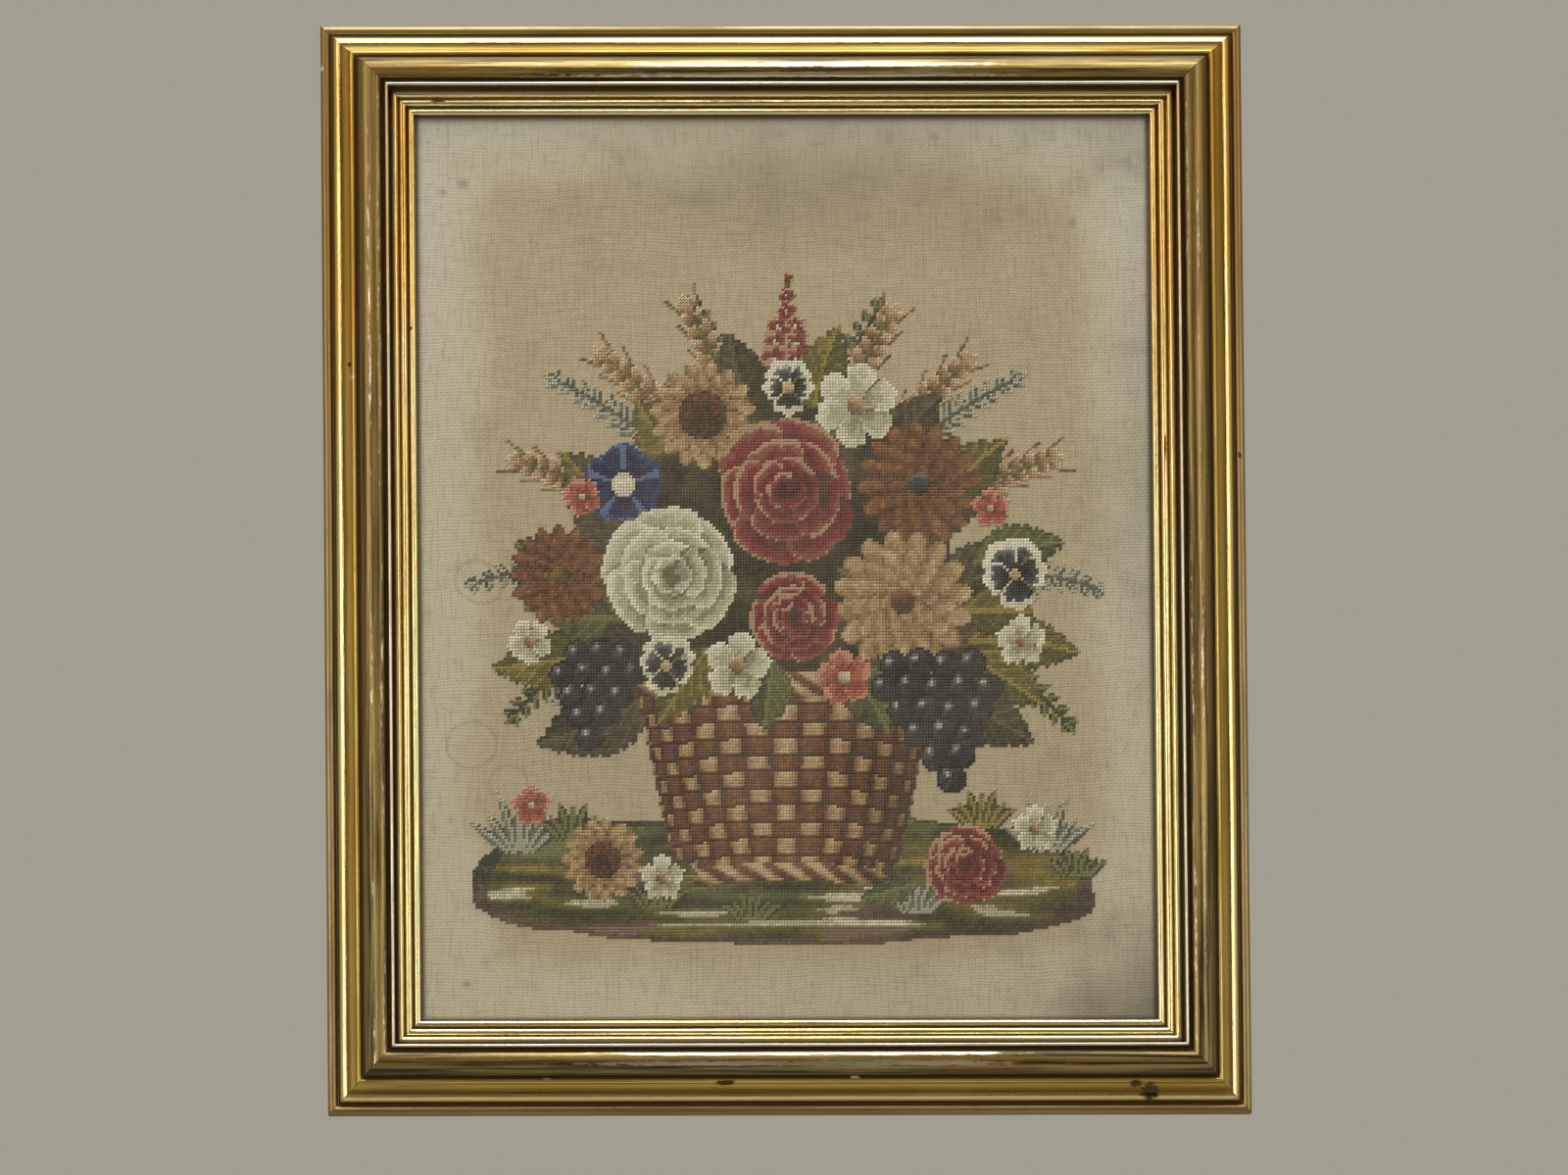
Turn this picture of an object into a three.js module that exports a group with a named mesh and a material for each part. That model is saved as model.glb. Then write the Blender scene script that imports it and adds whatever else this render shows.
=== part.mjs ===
// A wool needlework picture on canvas, stretched flat in a gilt moulded frame with an inner slip.
// Millimetres, +Z up. The front faces -Y and the back plane is y = 0. The origin is the middle of
// the top rail's back face, where the picture hangs.
import * as THREE from "three";

// Driving dimensions of the frame. Heights are measured forwards from the back plane.
const frameWidth = 570;
const frameHeight = 684;
const mitreGap = 0.3;
const fitGap = 0.3;

// The outer moulding's rebate, which takes the slip, the cloth and the board.
const rebateInset = 35;
const rebateDepth = 18.2;

// The slip's back, and the cloth and the board behind it.
const slipBackHeight = 12;
const slipFlangeEnd = 42.4;
const sightInset = 57.6;
const canvasThickness = 1.2;
const boardThickness = 3;
const sheetClearance = 1;
const sheetWidth = frameWidth - 2 * (rebateInset + sheetClearance);
const sheetHeight = frameHeight - 2 * (rebateInset + sheetClearance);

// The cloth's own relief. A ripple has so many waves over the cloth's width and height.
const rippleShoulder = 80;
const clothCells = { across: 22, up: 26 };
const ripples = [
  { amplitude: 0.32, wavesAcross: 1.5, wavesUp: 0.4, phase: 0.6 },
  { amplitude: 0.22, wavesAcross: 0.5, wavesUp: 2.1, phase: 2.4 },
  { amplitude: 0.12, wavesAcross: 2.6, wavesUp: 1.7, phase: 4.1 },
];

// The worked wool stands proud of the cloth inside these ovals, placed from the cloth's middle.
const woolRise = 1.1;
const woolShoulder = 0.3;
const workedOvals = [
  { part: "bouquet", across: 0, up: 44, halfWidth: 196, halfHeight: 150 },
  { part: "basket", across: 0, up: -114, halfWidth: 98, halfHeight: 84 },
  { part: "ground", across: 0, up: -196, halfWidth: 196, halfHeight: 42 },
];

// Each member of a moulding is an arc of an ellipse. centre is its distance in from the frame's
// outer edge and foot is its height. Degrees run from start to end: falling ones make a round
// member and rising ones a hollow. Straight lines join one member to the next.
const mouldingMembers = [
  { member: "outer bead", centre: 2.9, foot: 7.8, halfWidth: 2.9, rise: 2.6, start: 215, end: 0, steps: 12 },
  { member: "quirk bead", centre: 7.0, foot: 7.6, halfWidth: 0.6, rise: 0.6, start: 180, end: 0, steps: 4 },
  { member: "ovolo", centre: 11.8, foot: 10.2, halfWidth: 3.4, rise: 3.8, start: 180, end: 90, steps: 6 },
  { member: "cove", centre: 12.0, foot: 20.2, halfWidth: 6.2, rise: 6.6, start: 270, end: 340, steps: 7 },
  { member: "cove lip", centre: 19.0, foot: 19.0, halfWidth: 1.5, rise: 1.5, start: 150, end: 0, steps: 6 },
  { member: "quirk", centre: 21.3, foot: 18.9, halfWidth: 0.5, rise: 0.4, start: 180, end: 360, steps: 3 },
  { member: "flank", centre: 27.0, foot: 19.6, halfWidth: 5.2, rise: 6.6, start: 180, end: 95, steps: 8 },
  { member: "crown", centre: 31.6, foot: 25.4, halfWidth: 4.9, rise: 3.1, start: 170, end: 10, steps: 10 },
  { member: "recess", centre: 37.7, foot: 23.0, halfWidth: 1.2, rise: 0.8, start: 180, end: 360, steps: 4 },
  { member: "silver fillet", centre: 40.0, foot: 27.2, halfWidth: 1.0, rise: 1.2, start: 180, end: 0, steps: 6 },
];
const slipMembers = [
  { member: "first round", centre: 44.9, foot: 18.2, halfWidth: 2.2, rise: 2.6, start: 180, end: 0, steps: 8 },
  { member: "second round", centre: 50.1, foot: 17.2, halfWidth: 2.0, rise: 1.8, start: 180, end: 0, steps: 7 },
  { member: "sight bead", centre: 55.5, foot: 15.2, halfWidth: 2.1, rise: 2.3, start: 180, end: 0, steps: 8 },
];

// Finishes.
const agedGold = new THREE.MeshStandardMaterial({ color: 0xb48a3c, roughness: 0.38, metalness: 0.85 });
const brightGold = new THREE.MeshStandardMaterial({ color: 0xd9b45a, roughness: 0.3, metalness: 0.9 });
const rawCanvas = new THREE.MeshStandardMaterial({ color: 0xaa9676, roughness: 0.95, metalness: 0 });
const plainBoard = new THREE.MeshStandardMaterial({ color: 0x9c8260, roughness: 0.85, metalness: 0 });

// The points of one member, from its outer side to its inner side.
function memberPoints(row) {
  const points = [];
  for (let step = 0; step <= row.steps; step += 1) {
    const degrees = row.start + ((row.end - row.start) * step) / row.steps;
    const angle = THREE.MathUtils.degToRad(degrees);
    const across = row.centre + row.halfWidth * Math.cos(angle);
    const height = row.foot + row.rise * Math.sin(angle);
    points.push(new THREE.Vector2(across, height));
  }
  return points;
}

// The moulding's section: its side, its members, its inner edge, and the rebate at the back.
function mouldingSection() {
  const face = mouldingMembers.flatMap(memberPoints);
  const side = face[0].x;
  const innerEdge = face[face.length - 1].x;
  return [
    new THREE.Vector2(side, 0),
    ...face,
    new THREE.Vector2(innerEdge, rebateDepth),
    new THREE.Vector2(rebateInset, rebateDepth),
    new THREE.Vector2(rebateInset, 0),
  ];
}

// The slip's section: a flat flange that lies under the moulding, and three round members.
function slipSection() {
  const flangeHeight = rebateDepth - fitGap;
  const flangeStart = rebateInset + fitGap;
  return [
    new THREE.Vector2(flangeStart, slipBackHeight),
    new THREE.Vector2(flangeStart, flangeHeight),
    new THREE.Vector2(slipFlangeEnd, flangeHeight),
    ...slipMembers.flatMap(memberPoints),
    new THREE.Vector2(sightInset, slipBackHeight),
  ];
}

// One length of a section, mitred at both ends. It runs along X about the middle, with its outer
// edge at z = 0, its inner edge towards -Z and its face towards -Y.
function mitredLength(section, length) {
  const geometry = new THREE.ExtrudeGeometry(new THREE.Shape(section), {
    depth: length,
    steps: 1,
    bevelEnabled: false,
  });
  const clearance = (mitreGap / 2) * Math.SQRT2;
  const position = geometry.getAttribute("position");
  for (let i = 0; i < position.count; i += 1) {
    const cut = position.getX(i) + clearance;
    position.setZ(i, position.getZ(i) < length / 2 ? cut : length - cut);
  }
  const inwards = new THREE.Vector3(0, 0, -1);
  const forwards = new THREE.Vector3(0, -1, 0);
  const along = new THREE.Vector3(-1, 0, 0);
  geometry.applyMatrix4(new THREE.Matrix4().makeBasis(inwards, forwards, along));
  geometry.translate(length / 2, 0, 0);
  geometry.computeVertexNormals();
  return geometry;
}

// Four mitred lengths round the picture's middle, one for each side.
function mitredFrame(name, section, material) {
  const sides = [
    { side: "top", length: frameWidth, across: 0, up: frameHeight / 2, turn: 0 },
    { side: "right", length: frameHeight, across: frameWidth / 2, up: 0, turn: 90 },
    { side: "bottom", length: frameWidth, across: 0, up: -frameHeight / 2, turn: 180 },
    { side: "left", length: frameHeight, across: -frameWidth / 2, up: 0, turn: 270 },
  ];
  const group = new THREE.Group();
  for (const row of sides) {
    const rail = new THREE.Mesh(mitredLength(section, row.length), material.clone());
    rail.name = `${name}_${row.side}`;
    rail.position.set(row.across, 0, row.up);
    rail.rotation.y = THREE.MathUtils.degToRad(row.turn);
    group.add(rail);
  }
  return group;
}

// How far the stretched cloth stands forwards of flat. It is flat where the slip holds it down.
function clothRipple(across, up) {
  const insideAcross = frameWidth / 2 - sightInset - Math.abs(across);
  const insideUp = frameHeight / 2 - sightInset - Math.abs(up);
  const inside = Math.min(insideAcross, insideUp);
  const hold = THREE.MathUtils.smoothstep(inside, 0, rippleShoulder);
  let ripple = 0;
  for (const row of ripples) {
    const turns = (row.wavesAcross * across) / sheetWidth + (row.wavesUp * up) / sheetHeight;
    ripple += (row.amplitude * (1 + Math.sin(2 * Math.PI * turns + row.phase))) / 2;
  }
  return hold * ripple;
}

// How far the wool stands proud of the cloth, with a soft shoulder round each oval.
function woolHeight(across, up) {
  let most = 0;
  for (const oval of workedOvals) {
    const sideways = (across - oval.across) / oval.halfWidth;
    const upwards = (up - oval.up) / oval.halfHeight;
    const inside = 1 - Math.hypot(sideways, upwards);
    most = Math.max(most, THREE.MathUtils.smoothstep(inside, 0, woolShoulder));
  }
  return woolRise * most;
}

// The cloth: a closed sheet whose back follows the ripple and whose front carries the wool too.
function canvasSheet() {
  const geometry = new THREE.BoxGeometry(
    sheetWidth, canvasThickness, sheetHeight, clothCells.across, 1, clothCells.up,
  );
  const position = geometry.getAttribute("position");
  for (let i = 0; i < position.count; i += 1) {
    const across = position.getX(i);
    const up = position.getZ(i);
    const isFront = position.getY(i) < 0;
    const wool = isFront ? woolHeight(across, up) : 0;
    const forwards = clothRipple(across, up) + wool;
    position.setY(i, position.getY(i) - forwards);
  }
  geometry.computeVertexNormals();
  const canvas = new THREE.Mesh(geometry, rawCanvas);
  canvas.name = "canvas";
  canvas.position.y = -(slipBackHeight - fitGap - canvasThickness / 2);
  return canvas;
}

// The board that the cloth is stretched over.
function backBoard() {
  const geometry = new THREE.BoxGeometry(sheetWidth, boardThickness, sheetHeight);
  const board = new THREE.Mesh(geometry, plainBoard);
  board.name = "backboard";
  const front = slipBackHeight - canvasThickness - 2 * fitGap;
  board.position.y = -(front - boardThickness / 2);
  return board;
}

// Everything hangs from the middle of the top rail's back face.
const railBackMiddle = (mouldingSection()[0].x + rebateInset) / 2;
const picture = new THREE.Group();
picture.add(mitredFrame("moulding", mouldingSection(), agedGold));
picture.add(mitredFrame("slip", slipSection(), brightGold));
picture.add(canvasSheet());
picture.add(backBoard());
picture.position.z = railBackMiddle - frameHeight / 2;

const part = new THREE.Group();
part.add(picture);

export default part;
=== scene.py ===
import math
from collections import namedtuple

import bmesh
import bpy
import numpy as np
from mathutils import Matrix, Vector, noise


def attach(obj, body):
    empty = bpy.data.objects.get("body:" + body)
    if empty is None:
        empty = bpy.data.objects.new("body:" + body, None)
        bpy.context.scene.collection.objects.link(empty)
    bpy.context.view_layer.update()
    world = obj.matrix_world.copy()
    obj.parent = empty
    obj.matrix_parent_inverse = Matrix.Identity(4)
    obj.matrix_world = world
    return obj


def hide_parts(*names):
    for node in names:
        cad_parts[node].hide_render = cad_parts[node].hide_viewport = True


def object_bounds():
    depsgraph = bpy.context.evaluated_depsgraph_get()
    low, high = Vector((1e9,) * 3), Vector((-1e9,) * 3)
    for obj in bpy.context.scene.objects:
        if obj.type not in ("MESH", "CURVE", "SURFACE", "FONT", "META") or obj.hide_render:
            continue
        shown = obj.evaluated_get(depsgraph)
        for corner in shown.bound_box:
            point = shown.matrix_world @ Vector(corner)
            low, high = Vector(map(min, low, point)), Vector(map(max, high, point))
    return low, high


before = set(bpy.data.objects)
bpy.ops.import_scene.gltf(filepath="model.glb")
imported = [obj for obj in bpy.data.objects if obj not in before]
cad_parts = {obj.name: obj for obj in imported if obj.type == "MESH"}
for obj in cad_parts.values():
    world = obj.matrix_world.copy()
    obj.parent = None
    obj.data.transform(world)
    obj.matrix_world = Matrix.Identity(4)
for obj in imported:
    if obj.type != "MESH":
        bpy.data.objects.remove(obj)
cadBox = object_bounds()

mm = 0.001
lowCorner, highCorner = cadBox
frameWidth = highCorner.x - lowCorner.x
frameHeight = highCorner.z - lowCorner.z
middleUp = (highCorner.z + lowCorner.z) / 2  # the picture's middle, measured up from the hanging point
print("frame loaded")


# camera and light

cameraLook = {
    "distance": 30.0,  # far off, so the sides stay parallel as in the photograph
    "azimuth": -2.2,  # degrees, a little to the left
    "elevation": -10.5,  # degrees, from below
    "lean": 0.51,  # degrees that the picture leans anticlockwise in the view
    "imageSize": (1600, 1199),
    "frameAcross": 941,  # pixels from side to side of the frame
    "frameMiddle": (801.9, 578.5),  # pixel that shows the middle of the frame
}


def linked(name, data):
    made = bpy.data.objects.new(name, data)
    bpy.context.scene.collection.objects.link(made)
    return made


def aim(thing, target, azimuth, elevation, distance):
    # Stands a camera or a lamp round the target, facing it, and returns how it is turned.
    a, e = math.radians(azimuth), math.radians(elevation)
    back = Vector((math.sin(a) * math.cos(e), -math.cos(a) * math.cos(e), math.sin(e)))
    turn = (-back).to_track_quat("-Z", "Y")
    thing.location = target + back * distance
    thing.rotation_mode = "QUATERNION"
    thing.rotation_quaternion = turn
    return turn


def makeCamera(look):
    data = bpy.data.cameras.new("camera")
    camera = linked("camera", data)
    imageAcross, imageUp = look["imageSize"]
    seenWidth = frameWidth * math.cos(math.radians(look["azimuth"]))
    metresPerPixel = seenWidth / look["frameAcross"]
    data.lens = data.sensor_width * look["distance"] / (metresPerPixel * imageAcross)
    target = Vector((0, (lowCorner.y + highCorner.y) / 2, middleUp))
    turn = aim(camera, target, look["azimuth"], look["elevation"], look["distance"])
    sideways = (imageAcross / 2 - look["frameMiddle"][0]) * metresPerPixel
    upwards = (look["frameMiddle"][1] - imageUp / 2) * metresPerPixel
    camera.location += turn @ Vector((sideways, upwards, 0))
    camera.rotation_quaternion = turn @ Matrix.Rotation(-math.radians(look["lean"]), 3, "Z").to_quaternion()
    data.clip_start, data.clip_end = 0.1, 100
    bpy.context.scene.camera = camera


lamps = [
    # name, azimuth, elevation, distance, width, height, watts, colour
    ("windowLamp", -14, 54, 2.4, 2.4, 1.3, 43, (1.0, 0.985, 0.95)),
    ("ceilingLamp", -2, 78, 1.5, 0.34, 0.34, 3, (1.0, 0.99, 0.97)),
    ("leftLamp", -40, 2, 2.6, 1.1, 2.2, 23, (1.0, 0.975, 0.91)),
    ("rightLamp", 38, 2, 2.6, 1.1, 2.2, 20, (1.0, 0.975, 0.91)),
]


def makeLamps():
    target = Vector((0, 0, middleUp))
    for name, azimuth, elevation, distance, width, height, watts, colour in lamps:
        data = bpy.data.lights.new(name, "AREA")
        data.shape = "RECTANGLE"
        data.size, data.size_y = width, height
        data.energy, data.color = watts, colour
        aim(linked(name, data), target, azimuth, elevation, distance)


surroundings = {
    "front": (0.11, 0.083, 0.036),  # the dim room that the picture faces
    "others": [
        # what blends over it in turn: direction, where it starts and is full, colour
        ("side", 0.45, 0.85, (0.50, 0.425, 0.28)),
        ("behind", -0.1, 0.35, (0.36, 0.345, 0.285)),  # the pale wall side
        ("above", 0.58, 0.92, (1.45, 1.42, 1.34)),
        ("below", -0.12, -0.6, (0.04, 0.026, 0.009)),
    ],
}


def makeSurroundings(tones):
    world = bpy.data.worlds.new("studio")
    bpy.context.scene.world = world
    s = Shading("studio", world)
    parts = s.node("ShaderNodeSeparateXYZ")
    s.feed(parts.inputs[0], s.node("ShaderNodeTexCoord").outputs["Generated"])
    across, back, up = parts.outputs
    levels = {"side": s.maths("ABSOLUTE", across), "behind": back, "above": up, "below": up}
    colour = tones["front"]
    for direction, start, full, tone in tones["others"]:
        colour = s.tint(colour, levels[direction], start, full, 1.0, tone)
    s.put("Color", colour)


floorLook = {"side": 3.0, "drop": 1.25, "colour": (0.42, 0.40, 0.36), "roughness": 0.7}


def makeFloor(look):
    bm = bmesh.new()
    bmesh.ops.create_grid(bm, x_segments=1, y_segments=1, size=look["side"] / 2)
    bmesh.ops.translate(bm, verts=bm.verts, vec=(0, 0, lowCorner.z - look["drop"]))
    floor = finished("studioFloor", bm)
    s = Shading("paleFloor")
    s.put("Base Color", look["colour"])
    s.put("Roughness", look["roughness"])
    floor.data.materials.append(s.material)


# helpers for meshes and materials


def finished(name, bm, smooth=False):
    mesh = bpy.data.meshes.new(name)
    bm.to_mesh(mesh)
    bm.free()
    if smooth:
        mesh.polygons.foreach_set("use_smooth", [True] * len(mesh.polygons))
    return linked(name, mesh)


def smoothStep(value, low, high):
    t = min(1.0, max(0.0, (value - low) / (high - low)))
    return t * t * (3 - 2 * t)


class Shading:
    # Wires a new material, or the world, with short calls for the nodes used most.

    def __init__(self, name, world=None):
        self.material = world or bpy.data.materials.new(name)
        self.material.use_nodes = True
        self.tree = self.material.node_tree
        self.shader = self.tree.nodes["Background" if world else "Principled BSDF"]

    def feed(self, socket, value):
        if isinstance(value, bpy.types.NodeSocket):
            self.tree.links.new(value, socket)
        elif isinstance(value, tuple) and len(value) == 3 and socket.type == "RGBA":
            socket.default_value = (*value, 1)
        else:
            socket.default_value = value

    def put(self, socketName, value):
        self.feed(self.shader.inputs[socketName], value)

    def node(self, kind, **settings):
        made = self.tree.nodes.new(kind)
        for key, value in settings.items():
            setattr(made, key, value)
        return made

    def objectPlace(self, scale=(1, 1, 1), shift=(0, 0, 0)):
        return self.scaled(self.node("ShaderNodeTexCoord").outputs["Object"], scale, shift)

    def mapPlace(self, name):
        return self.node("ShaderNodeUVMap", uv_map=name).outputs[0]

    def scaled(self, place, scale, shift=(0, 0, 0)):
        mapping = self.node("ShaderNodeMapping")
        self.feed(mapping.inputs["Vector"], place)
        mapping.inputs["Scale"].default_value = scale
        mapping.inputs["Location"].default_value = shift
        return mapping.outputs[0]

    def attribute(self, name, output="Fac"):
        return self.node("ShaderNodeAttribute", attribute_name=name).outputs[output]

    def noiseAt(self, place, scale, detail=3.0, roughness=0.55, shift=(0, 0, 0)):
        # Three scales stretch the noise into streaks, and one leaves it even.
        if isinstance(scale, tuple):
            place, scale = self.scaled(place, scale, shift), 1.0
        made = self.node("ShaderNodeTexNoise")
        self.feed(made.inputs["Vector"], place)
        for key, number in (("Scale", scale), ("Detail", detail), ("Roughness", roughness)):
            made.inputs[key].default_value = number
        return made.outputs[0]

    def noises(self, place, rows):
        return [self.noiseAt(place, *row) for row in rows.values()]

    def maths(self, operation, first, second=0.0):
        made = self.node("ShaderNodeMath", operation=operation)
        for socket, value in zip(made.inputs, (first, second)):
            self.feed(socket, value)
        return made.outputs[0]

    def plus(self, first, second):
        return self.maths("ADD", first, second)

    def minus(self, first, second):
        return self.maths("SUBTRACT", first, second)

    def times(self, first, second):
        return self.maths("MULTIPLY", first, second)

    def fade(self, value, start, end, low=0.0, high=1.0):
        made = self.node("ShaderNodeMapRange", interpolation_type="SMOOTHSTEP")
        self.feed(made.inputs["Value"], value)
        for key, number in (("From Min", start), ("From Max", end), ("To Min", low), ("To Max", high)):
            made.inputs[key].default_value = number
        return made.outputs[0]

    def blend(self, factor, first, second):
        made = self.node("ShaderNodeMix", data_type="RGBA")
        for k, value in ((0, factor), (6, first), (7, second)):
            self.feed(made.inputs[k], value)
        return made.outputs[2]

    def tint(self, colour, value, start, end, most, shade):
        # Blends a shade over the colour, from none where the value is start to most where it is end.
        return self.blend(self.fade(value, start, end, 0.0, most), colour, shade)

    def bump(self, height, distance, strength=1.0):
        made = self.node("ShaderNodeBump")
        self.feed(made.inputs["Height"], height)
        made.inputs["Distance"].default_value = distance
        made.inputs["Strength"].default_value = strength
        self.put("Normal", made.outputs[0])

    def shine(self, specular, coat, coatRoughness):
        self.put("Specular IOR Level", specular)
        self.put("Coat Weight", coat)
        self.put("Coat Roughness", coatRoughness)

    def reachFrom(self, across, up, halfAcross, halfUp):
        # 0 at a point of the front, in millimetres from the picture's middle, and 1 at an oval round it
        scale = (1 / (halfAcross * mm), 0, 1 / (halfUp * mm))
        shift = (-across / halfAcross, 0, -up / halfUp - middleUp / (halfUp * mm))
        length = self.node("ShaderNodeVectorMath", operation="LENGTH")
        self.feed(length.inputs[0], self.objectPlace(scale, shift))
        return length.outputs["Value"]


# the gilt finishes, which read the rail's own map: metres along the rail, metres over its face

giltFinishes = {
    # each finish's grime colour stands for dirt and for painted shade
    "bronzedBead": {
        "bright": (0.40, 0.31, 0.155), "worn": (0.15, 0.095, 0.033), "grime": (0.06, 0.038, 0.012),
        "wear": 0.6, "dusk": 0.7, "gloss": 0.30, "metal": 0.95, "coat": 0.2,
    },
    "clearGold": {
        "bright": (0.94, 0.79, 0.39), "worn": (0.52, 0.37, 0.10), "grime": (0.14, 0.085, 0.008),
        "wear": 0.25, "dusk": 0.35, "gloss": 0.23, "metal": 1.0, "coat": 0.1,
    },
    "coveGold": {
        "bright": (0.72, 0.55, 0.175), "worn": (0.27, 0.165, 0.018), "grime": (0.055, 0.030, 0.001),
        "wear": 0.6, "dusk": 0.75, "gloss": 0.30, "metal": 0.95, "coat": 0.0,
    },
    "slipGold": {
        "bright": (0.99, 0.88, 0.50), "worn": (0.66, 0.46, 0.09), "grime": (0.19, 0.10, 0.003),
        "wear": 0.3, "dusk": 0.35, "gloss": 0.22, "metal": 1.0, "coat": 0.0,
    },
    "silverLine": {
        "bright": (0.86, 0.82, 0.72), "worn": (0.38, 0.31, 0.21), "grime": (0.10, 0.075, 0.04),
        "wear": 0.2, "dusk": 0.3, "gloss": 0.24, "metal": 1.0, "coat": 0.0,
    },
    "quirkDark": {
        "bright": (0.15, 0.095, 0.028), "worn": (0.06, 0.034, 0.01), "grime": (0.03, 0.018, 0.006),
        "wear": 0.6, "dusk": 0.7, "gloss": 0.5, "metal": 0.5, "coat": 0.0,
    },
}

handlingMarks = [
    # chips and stains: across and up from the middle, half width, half height, colour
    (-213.3, 292.5, 5.0, 1.1, (0.13, 0.07, 0.02)),
    (-284.2, 315.0, 1.1, 1.6, (0.62, 0.58, 0.5)),
    (281.8, 70.8, 1.4, 2.4, (0.05, 0.035, 0.02)),
    (-268.6, 127.6, 1.2, 1.6, (0.05, 0.03, 0.015)),
    (-267.6, 119.0, 1.2, 1.8, (0.66, 0.6, 0.5)),
    (222.0, -329.5, 6.5, 5.5, (0.075, 0.06, 0.02)),
    (213.0, -325.0, 4.0, 2.0, (0.09, 0.07, 0.025)),
    (235.2, 74.0, 0.9, 9.0, (0.16, 0.08, 0.02)),
    (-230.5, 150.0, 0.8, 1.5, (0.08, 0.05, 0.02)),
    (262.0, -120.0, 1.0, 1.4, (0.05, 0.03, 0.015)),
    (60.0, 318.0, 2.4, 0.9, (0.09, 0.06, 0.03)),
    (-150.0, -322.0, 3.0, 1.1, (0.62, 0.56, 0.46)),
    (40.0, -321.0, 4.0, 0.9, (0.64, 0.58, 0.46)),
    (186.0, -331.0, 12.0, 0.9, (0.90, 0.84, 0.68)),
    (82.0, -331.2, 7.0, 0.8, (0.90, 0.84, 0.68)),
    (263.5, -60.0, 1.0, 1.2, (0.05, 0.03, 0.015)),
    (-40.0, -324.0, 7.0, 1.4, (0.10, 0.06, 0.01)),
]

giltGrain = {
    # stretch along the rail and over its face, detail, roughness, shift
    "streaks": ((7, 620, 1), 5.0, 0.62),
    "patches": ((9, 70, 1), 3.0, 0.55, (3.1, 1.7, 0)),
    "drift": ((3.3, 24, 1), 2.0, 0.55, (6.1, 4.2, 0)),
    "flecks": ((230, 820, 1), 2.0, 0.55, (7.7, 2.3, 0)),
    "scuffs": ((38, 330, 1), 5.0, 0.7, (5.9, 3.6, 0)),
    "scratches": ((16, 1500, 1), 3.0, 0.6, (2.9, 6.6, 0)),
}


def giltFinish(name, tone):
    s = Shading(name)
    streaks, patches, drift, flecks, scuffs, scratches = s.noises(s.mapPlace("grain"), giltGrain)
    # grime and painted shade, set member by member across the face
    grime = s.attribute("grime")
    wear = s.plus(streaks, s.times(patches, 0.7))
    wear = s.fade(wear, 1.10 - tone["wear"] * 0.45, 1.28 - tone["wear"] * 0.3)
    wear = s.maths("MAXIMUM", wear, s.fade(scuffs, 0.60, 0.70, 0.0, 0.8))
    wear = s.maths("MAXIMUM", wear, s.fade(scratches, 0.62, 0.72, 0.0, 0.7))
    wear = s.times(wear, min(1.0, 0.35 + tone["wear"]))
    chips = s.fade(flecks, 0.765, 0.8)
    colour = s.blend(wear, tone["bright"], tone["worn"])
    dusky = tuple(c * k for c, k in zip(tone["bright"], (0.72, 0.60, 0.36)))
    orange = tuple(c * k for c, k in zip(tone["bright"], (0.74, 0.50, 0.22)))
    colour = s.tint(colour, drift, 0.38, 0.66, tone["dusk"], dusky)
    # painted warm reflection, redder towards the top of the uprights
    warmReflection = s.times(s.attribute("warmReflection"), s.fade(patches, 0.3, 0.7, 0.95, 0.55))
    colour = s.blend(warmReflection, colour, orange)
    # grime and painted shade darken the colour in hollows and beside higher members
    soiledAndShaded = s.times(grime, s.fade(streaks, 0.25, 0.7, 1.05, 0.75))
    colour = s.blend(soiledAndShaded, colour, tone["grime"])
    colour = s.blend(chips, colour, (0.05, 0.03, 0.015))
    ragged = s.times(s.minus(flecks, 0.5), 1.6)
    for across, up, halfAcross, halfUp, shade in handlingMarks:
        reach = s.plus(s.reachFrom(across, up, halfAcross, halfUp), ragged)
        colour = s.tint(colour, reach, 1.0, 0.7, 1.0, shade)
    s.put("Base Color", colour)
    dull = s.plus(s.times(wear, 0.16), s.times(grime, 0.22))
    dull = s.plus(dull, s.fade(streaks, 0.3, 0.75, tone["gloss"] - 0.04, tone["gloss"] + 0.09))
    s.put("Roughness", dull)
    s.put("Metallic", s.minus(tone["metal"], s.times(s.maths("MAXIMUM", grime, chips), 0.4)))
    s.shine(0.15, tone["coat"], 0.22)
    height = s.plus(s.plus(streaks, s.times(flecks, 0.35)), s.times(s.minus(scuffs, scratches), 0.8))
    s.bump(height, 0.00013, 0.8)
    return s.material


silverGrain = {
    "streaks": ((10, 700, 1), 6.0, 0.68),
    "rubs": ((60, 420, 1), 7.0, 0.76, (1.3, 5.1, 0)),
    "stretches": ((5, 40, 1), 3.0, 0.55, (4.4, 0.9, 0)),
    "bands": ((3.5, 330, 1), 4.0, 0.6, (0.6, 7.2, 0)),
    "flecks": ((230, 820, 1), 2.0, 0.55, (2.7, 8.3, 0)),
}


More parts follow.
